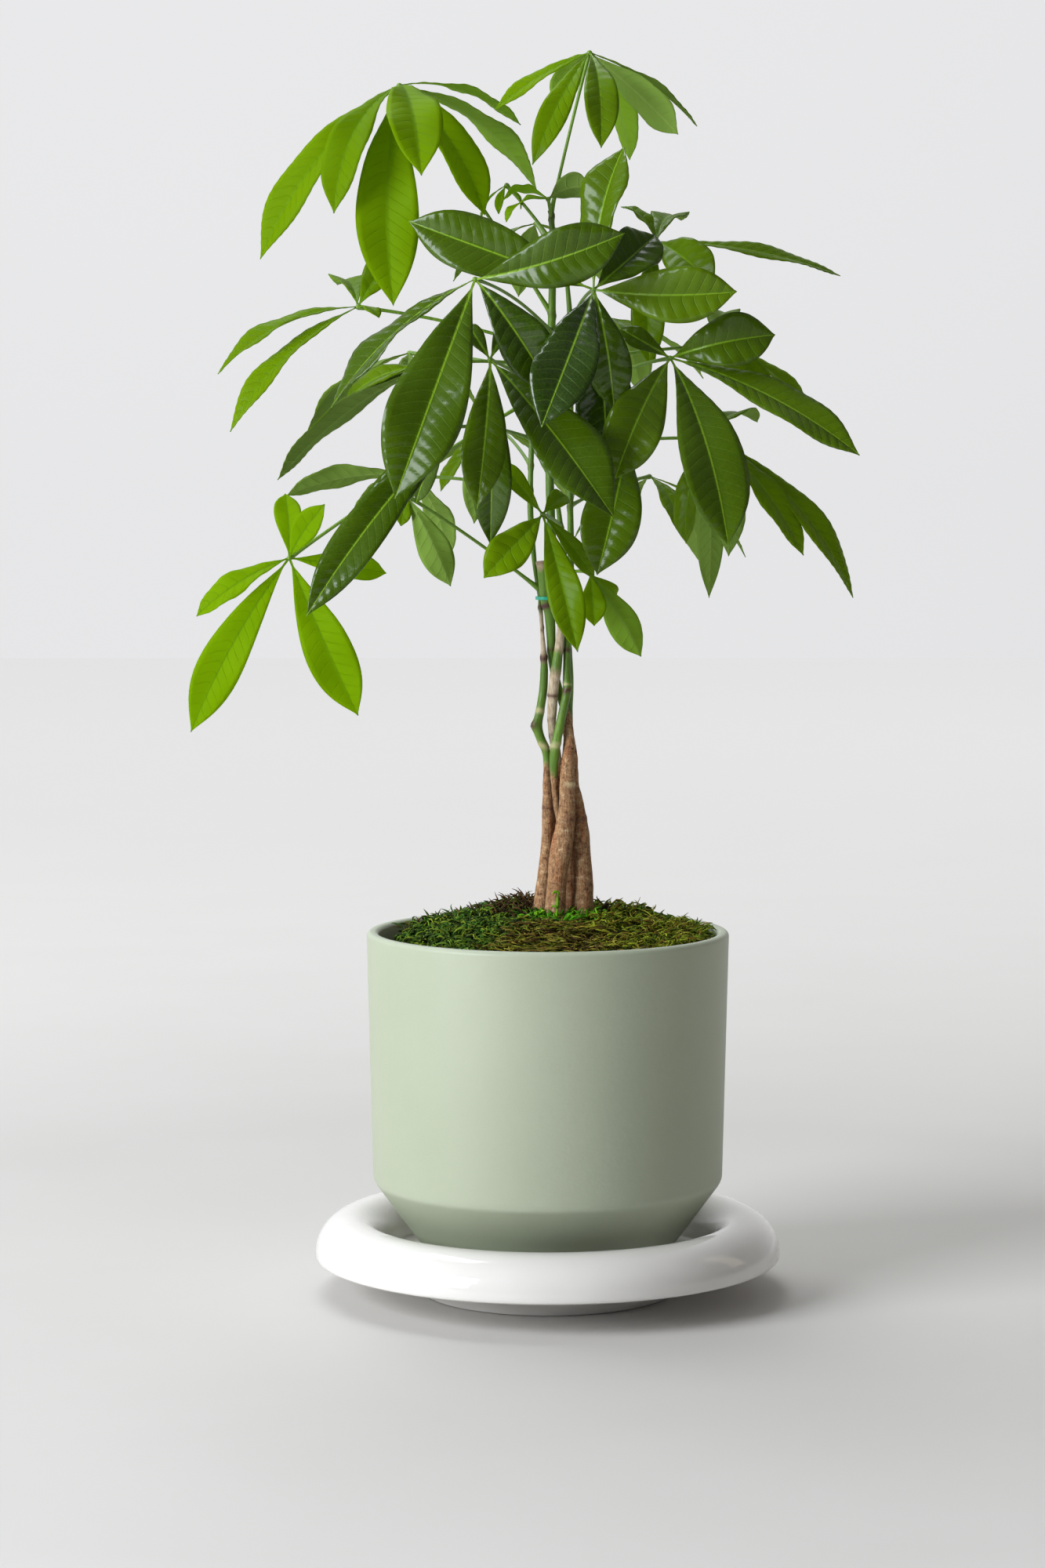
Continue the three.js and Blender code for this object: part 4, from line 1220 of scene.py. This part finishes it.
def leaf_finish(name, under=False):
    leaf = Finish(name)
    from_midrib, along, vein_count = leaf.parts(leaf.attribute("leaf_place"))
    age, chance, to_margin = leaf.parts(leaf.attribute("leaf_kind"))

    place = leaf.place()
    clouds = leaf.noise(place, 45.0, 3.0)
    specks = leaf.noise(place, 900.0, 2.0)
    net = (1 - leaf.cells(place, 520.0, "DISTANCE_TO_EDGE") / 0.12).held()
    from_vein = abs(vein_count.maths("FRACT", vein_count) - 0.5) * 2
    side_veins = ((from_vein - 0.84) / 0.16).held() * (1 - to_margin ** 3).held()
    midrib = (1.25 - from_midrib / (0.85 - along * 0.55)).held()

    young = leaf.mix(clouds, colour(112, 150, 2), colour(146, 182, 4))
    old = leaf.mix(clouds, colour(38, 62, 0), colour(66, 90, 0))
    blade = leaf.mix((age + (chance - 0.5) * 0.25 + (clouds - 0.5) * 0.3).held(), young, old)
    # Painted shade: leaflets whose tone goes past deep green, mostly those lying in the others' shadow,
    # turn darker still.
    blade = leaf.mix(((age - 0.95) * 1.8).held(), blade, colour(22, 44, 0))
    vein = leaf.mix(age, colour(88, 128, 20), colour(128, 168, 40))
    if under:
        pale = leaf.mix(age, colour(140, 176, 62), colour(116, 140, 84))
        blade = leaf.mix(0.75, blade, pale)
        vein = leaf.mix(0.5, vein, colour(158, 176, 110))
    blade = leaf.mix(net * 0.05 + specks * 0.08, blade, vein)
    blade = leaf.mix(side_veins * SIDE_VEIN_SHOW, blade, vein)
    blade = leaf.mix(midrib * 0.85, blade, vein)
    gloss = 0.62 if under else 0.5 - age * 0.24
    leaf.wear(Base_Color=blade, Roughness=clouds * 0.08 + gloss)
    if not under:
        leaf.wear(Coat_Weight=((age - 0.35) * 0.75).held(), Coat_Roughness=0.21)
    leaf.wear(Specular_IOR_Level=0.03, Specular_Tint=(0.55, 0.85, 1.0, 1))
    leaf.relief(side_veins * (0.7 if under else -0.7), 0.0003)

    through = leaf.node("ShaderNodeBsdfTranslucent", {}, {"Color": LIGHT_THROUGH})
    shares = {"Fac": (0.55 - age * 0.6).held(), 1: Wire(leaf, leaf.shader.outputs["BSDF"]), 2: through}
    both = leaf.node("ShaderNodeMixShader", {}, shares)
    leaf.join(both, leaf.tree.nodes["Material Output"].inputs["Surface"])
    return leaf


upper = leaf_finish("leaf_upper")
lower = leaf_finish("leaf_under", under=True)

stalk_finish = Finish("leaf_stalk")
stalk_streaks = stalk_finish.noise(stalk_finish.stretched(stalk_finish.place(), (1, 1, 0.3)), 1200.0)
stalk_finish.wear(
    Base_Color=stalk_finish.mix(stalk_streaks, colour(74, 112, 20), colour(126, 164, 44)),
    Roughness=0.45,
)
stalk_finish.relief(stalk_streaks, 0.0002)
print("leaf nodes:", len(upper.tree.nodes))

# %% [markdown]
# Every leaflet starts as a flat grid. Its columns crowd towards the midrib, where the bend is
# sharpest. The outline is narrow at the hub, widest past the middle, and ends in a drip tip.
# Then the sheet is carried along its own arched midrib and folded, waved and quilted. The rule
# for the midrib is the one that the solids follow, so a leaflet with the solid's own row lies
# where the solid does.

# %% One leaflet
COLUMNS = 12
ROW_LENGTH = 1.15
VEIN_SPACING = 5.8
COLUMN_CROWDING = 1.3
TAPER_TO_STALK = 1.08
TAPER_TO_TIP = 2.8
WIDEST = 0.4484
BARE_STALK = 0.035
LEAF_THICKNESS = 0.4
FOLDS = (0.26, 0.42)
WAVES = (1.6, 2.6)
WAVE_SHARE = 0.13
SWEEP_SHARE = 0.03
TWIST_DEGREES = 9
RIPPLE = 0.14


def outline(along):
    """A leaflet's half width along its midrib, as a part of the widest."""
    blade = np.clip((along - BARE_STALK) / (1 - BARE_STALK), 0, 1)
    body = blade ** TAPER_TO_STALK * (1 - blade ** TAPER_TO_TIP) / WIDEST
    drip = 1 - 0.5 * np.exp(-(1 - along) / 0.055)
    return body * drip


def unit(vector):
    return vector / np.linalg.norm(vector)


def make_leaflet(hub, face, row, age, drawn):
    x, y, z, width, arch, roll, painted_shade_and_tone = (*row, 0, 0)[:7]
    chord = np.array((x, y, z)) - hub
    length = np.linalg.norm(chord)
    ahead = chord / length
    up = unit(face - ahead * np.dot(face, ahead))
    side = np.cross(ahead, up)
    turn = math.radians(roll)
    up = up * math.cos(turn) + np.cross(ahead, up) * math.sin(turn)
    side = np.cross(ahead, up)

    rows = max(14, round(length / ROW_LENGTH))
    columns = COLUMNS if width > 9 else COLUMNS // 2
    deselect()
    bpy.ops.mesh.primitive_grid_add(x_subdivisions=columns, y_subdivisions=rows, size=2)
    leaflet = bpy.context.active_object
    flat = points_of(leaflet)
    across = np.sign(flat[:, 0]) * np.abs(flat[:, 0]) ** COLUMN_CROWDING
    along = (flat[:, 1] + 1) / 2

    half = np.maximum(outline(along) * width / 2, 0.55 * (1 - along * 0.8))
    reach = across * half
    fold = drawn.uniform(*FOLDS)
    wave_turn = drawn.uniform(0, 6.28)
    waves = drawn.uniform(*WAVES)
    sweep = drawn.uniform(-SWEEP_SHARE, SWEEP_SHARE) * length
    twist = math.radians(drawn.uniform(-TWIST_DEGREES, TWIST_DEGREES)) * (along - 0.3)

    veins = length / VEIN_SPACING
    lag = 0.1 * (np.abs(reach) / (width / 2)) ** 1.25
    count = veins * (along - lag) + 0.25 * np.tanh(across * 8)
    bulge = 1 - (2 * np.mod(count, 1) - 1) ** 2
    inside = np.clip(np.abs(across) * 2.6, 0, 1) * (1 - np.abs(across) ** 4)
    inside *= np.clip(along * 6 - 0.4, 0, 1) * np.clip((1 - along) * 8, 0, 1)
    quilt = (0.08 + 0.8 * age) * bulge * inside * min(1, width / 20)
    ridge = 0.12 * np.exp(-((reach / 0.5) ** 2))
    wave = np.sin(waves * 2 * np.pi * along + wave_turn + 1.5 * np.sign(across)) * across ** 2
    ripple = RIPPLE * np.sin(2 * np.pi * count) * across ** 4
    rise = half * (fold * np.abs(across) - 0.1 * across ** 2) + WAVE_SHARE * half * wave
    rise += quilt + ridge + ripple

    climb = 4 * arch * (1 - 2 * along) / length
    normal = up - climb[:, None] * ahead
    normal /= np.linalg.norm(normal, axis=1)[:, None]
    leaning = side * np.cos(twist)[:, None] + normal * np.sin(twist)[:, None]
    normal = normal * np.cos(twist)[:, None] - side * np.sin(twist)[:, None]
    middle = hub + along[:, None] * chord + (4 * arch * along * (1 - along))[:, None] * up
    middle += (4 * sweep * along * (1 - along))[:, None] * side
    places = middle + leaning * reach[:, None] + normal * rise[:, None]
    move_points(leaflet, places * MM)

    chance = np.full(len(along), drawn.random())
    point_values(leaflet, "leaf_place", np.array([np.abs(reach), along, count]).T)
    # The tone is the leaf's age plus the row's last value: its own tone, painted shade where darker,
    # painted light where lighter.
    tone = np.full(len(along), age + painted_shade_and_tone)
    point_values(leaflet, "leaf_kind", np.array([tone, chance, np.abs(across)]).T)
    return leaflet


# %% [markdown]
# A leaf is a stalk that bows up from its stem, a small swollen hub, and its leaflets. The
# leaflets are joined into one sheet first, because Solidify then gives them all their
# thickness, with the paler finish on the underside. Stalk and hub are joined on after that.

# %% All the leaves
STALK_RADIUS = 0.85
HUB_SIZE = 1.35
STALK_STEPS = 20
LEAF_SEED = 3


def make_stalk(name, leaf, hub):
    root = stem_centre(leaf["stem"], leaf["height"])
    pull = (root + hub) / 2 + np.array((0, 0, leaf["lift"]))
    parts = np.linspace(0, 1, STALK_STEPS + 1)
    points = [(1 - t) ** 2 * root + 2 * t * (1 - t) * pull + t * t * hub for t in parts]
    radii = [STALK_RADIUS * (1 + 0.9 * math.exp(-t * 14) + 0.7 * math.exp(-(1 - t) * 18)) for t in parts]
    return tube_along(name, points, radii, 2, stalk_finish)


def make_leaf(name, leaf, drawn):
    hub = np.array(leaf["hub"], float)
    face = np.array(leaf["face"], float)
    leaflets = [make_leaflet(hub, face, row, leaf["age"], drawn) for row in leaf["blades"]]
    choose(*leaflets)
    bpy.ops.object.join()
    sheet = leaflets[0]
    sheet.name = name + "_leaf"
    sheet.data.materials.append(upper.material)
    sheet.data.materials.append(lower.material)
    thickness = sheet.modifiers.new("thickness", "SOLIDIFY")
    thickness.thickness = LEAF_THICKNESS * MM
    thickness.offset = 0
    thickness.material_offset = 1
    bpy.ops.object.modifier_apply(modifier="thickness")
    bpy.ops.object.shade_smooth()
    stalk = make_stalk(name + "_stalk", leaf, hub)
    deselect()
    bpy.ops.mesh.primitive_ico_sphere_add(subdivisions=3, radius=HUB_SIZE * MM, location=Vector(hub) * MM)
    joint = bpy.context.active_object
    joint.data.materials.append(stalk_finish.material)
    bpy.ops.object.shade_smooth()
    choose(sheet, stalk, joint)
    bpy.ops.object.join()
    settle(sheet, "leaf", "leaf_" + name)


drawn_for_leaves = random.Random(LEAF_SEED)
for name, leaf in LEAVES.items():
    make_leaf(name, leaf, drawn_for_leaves)
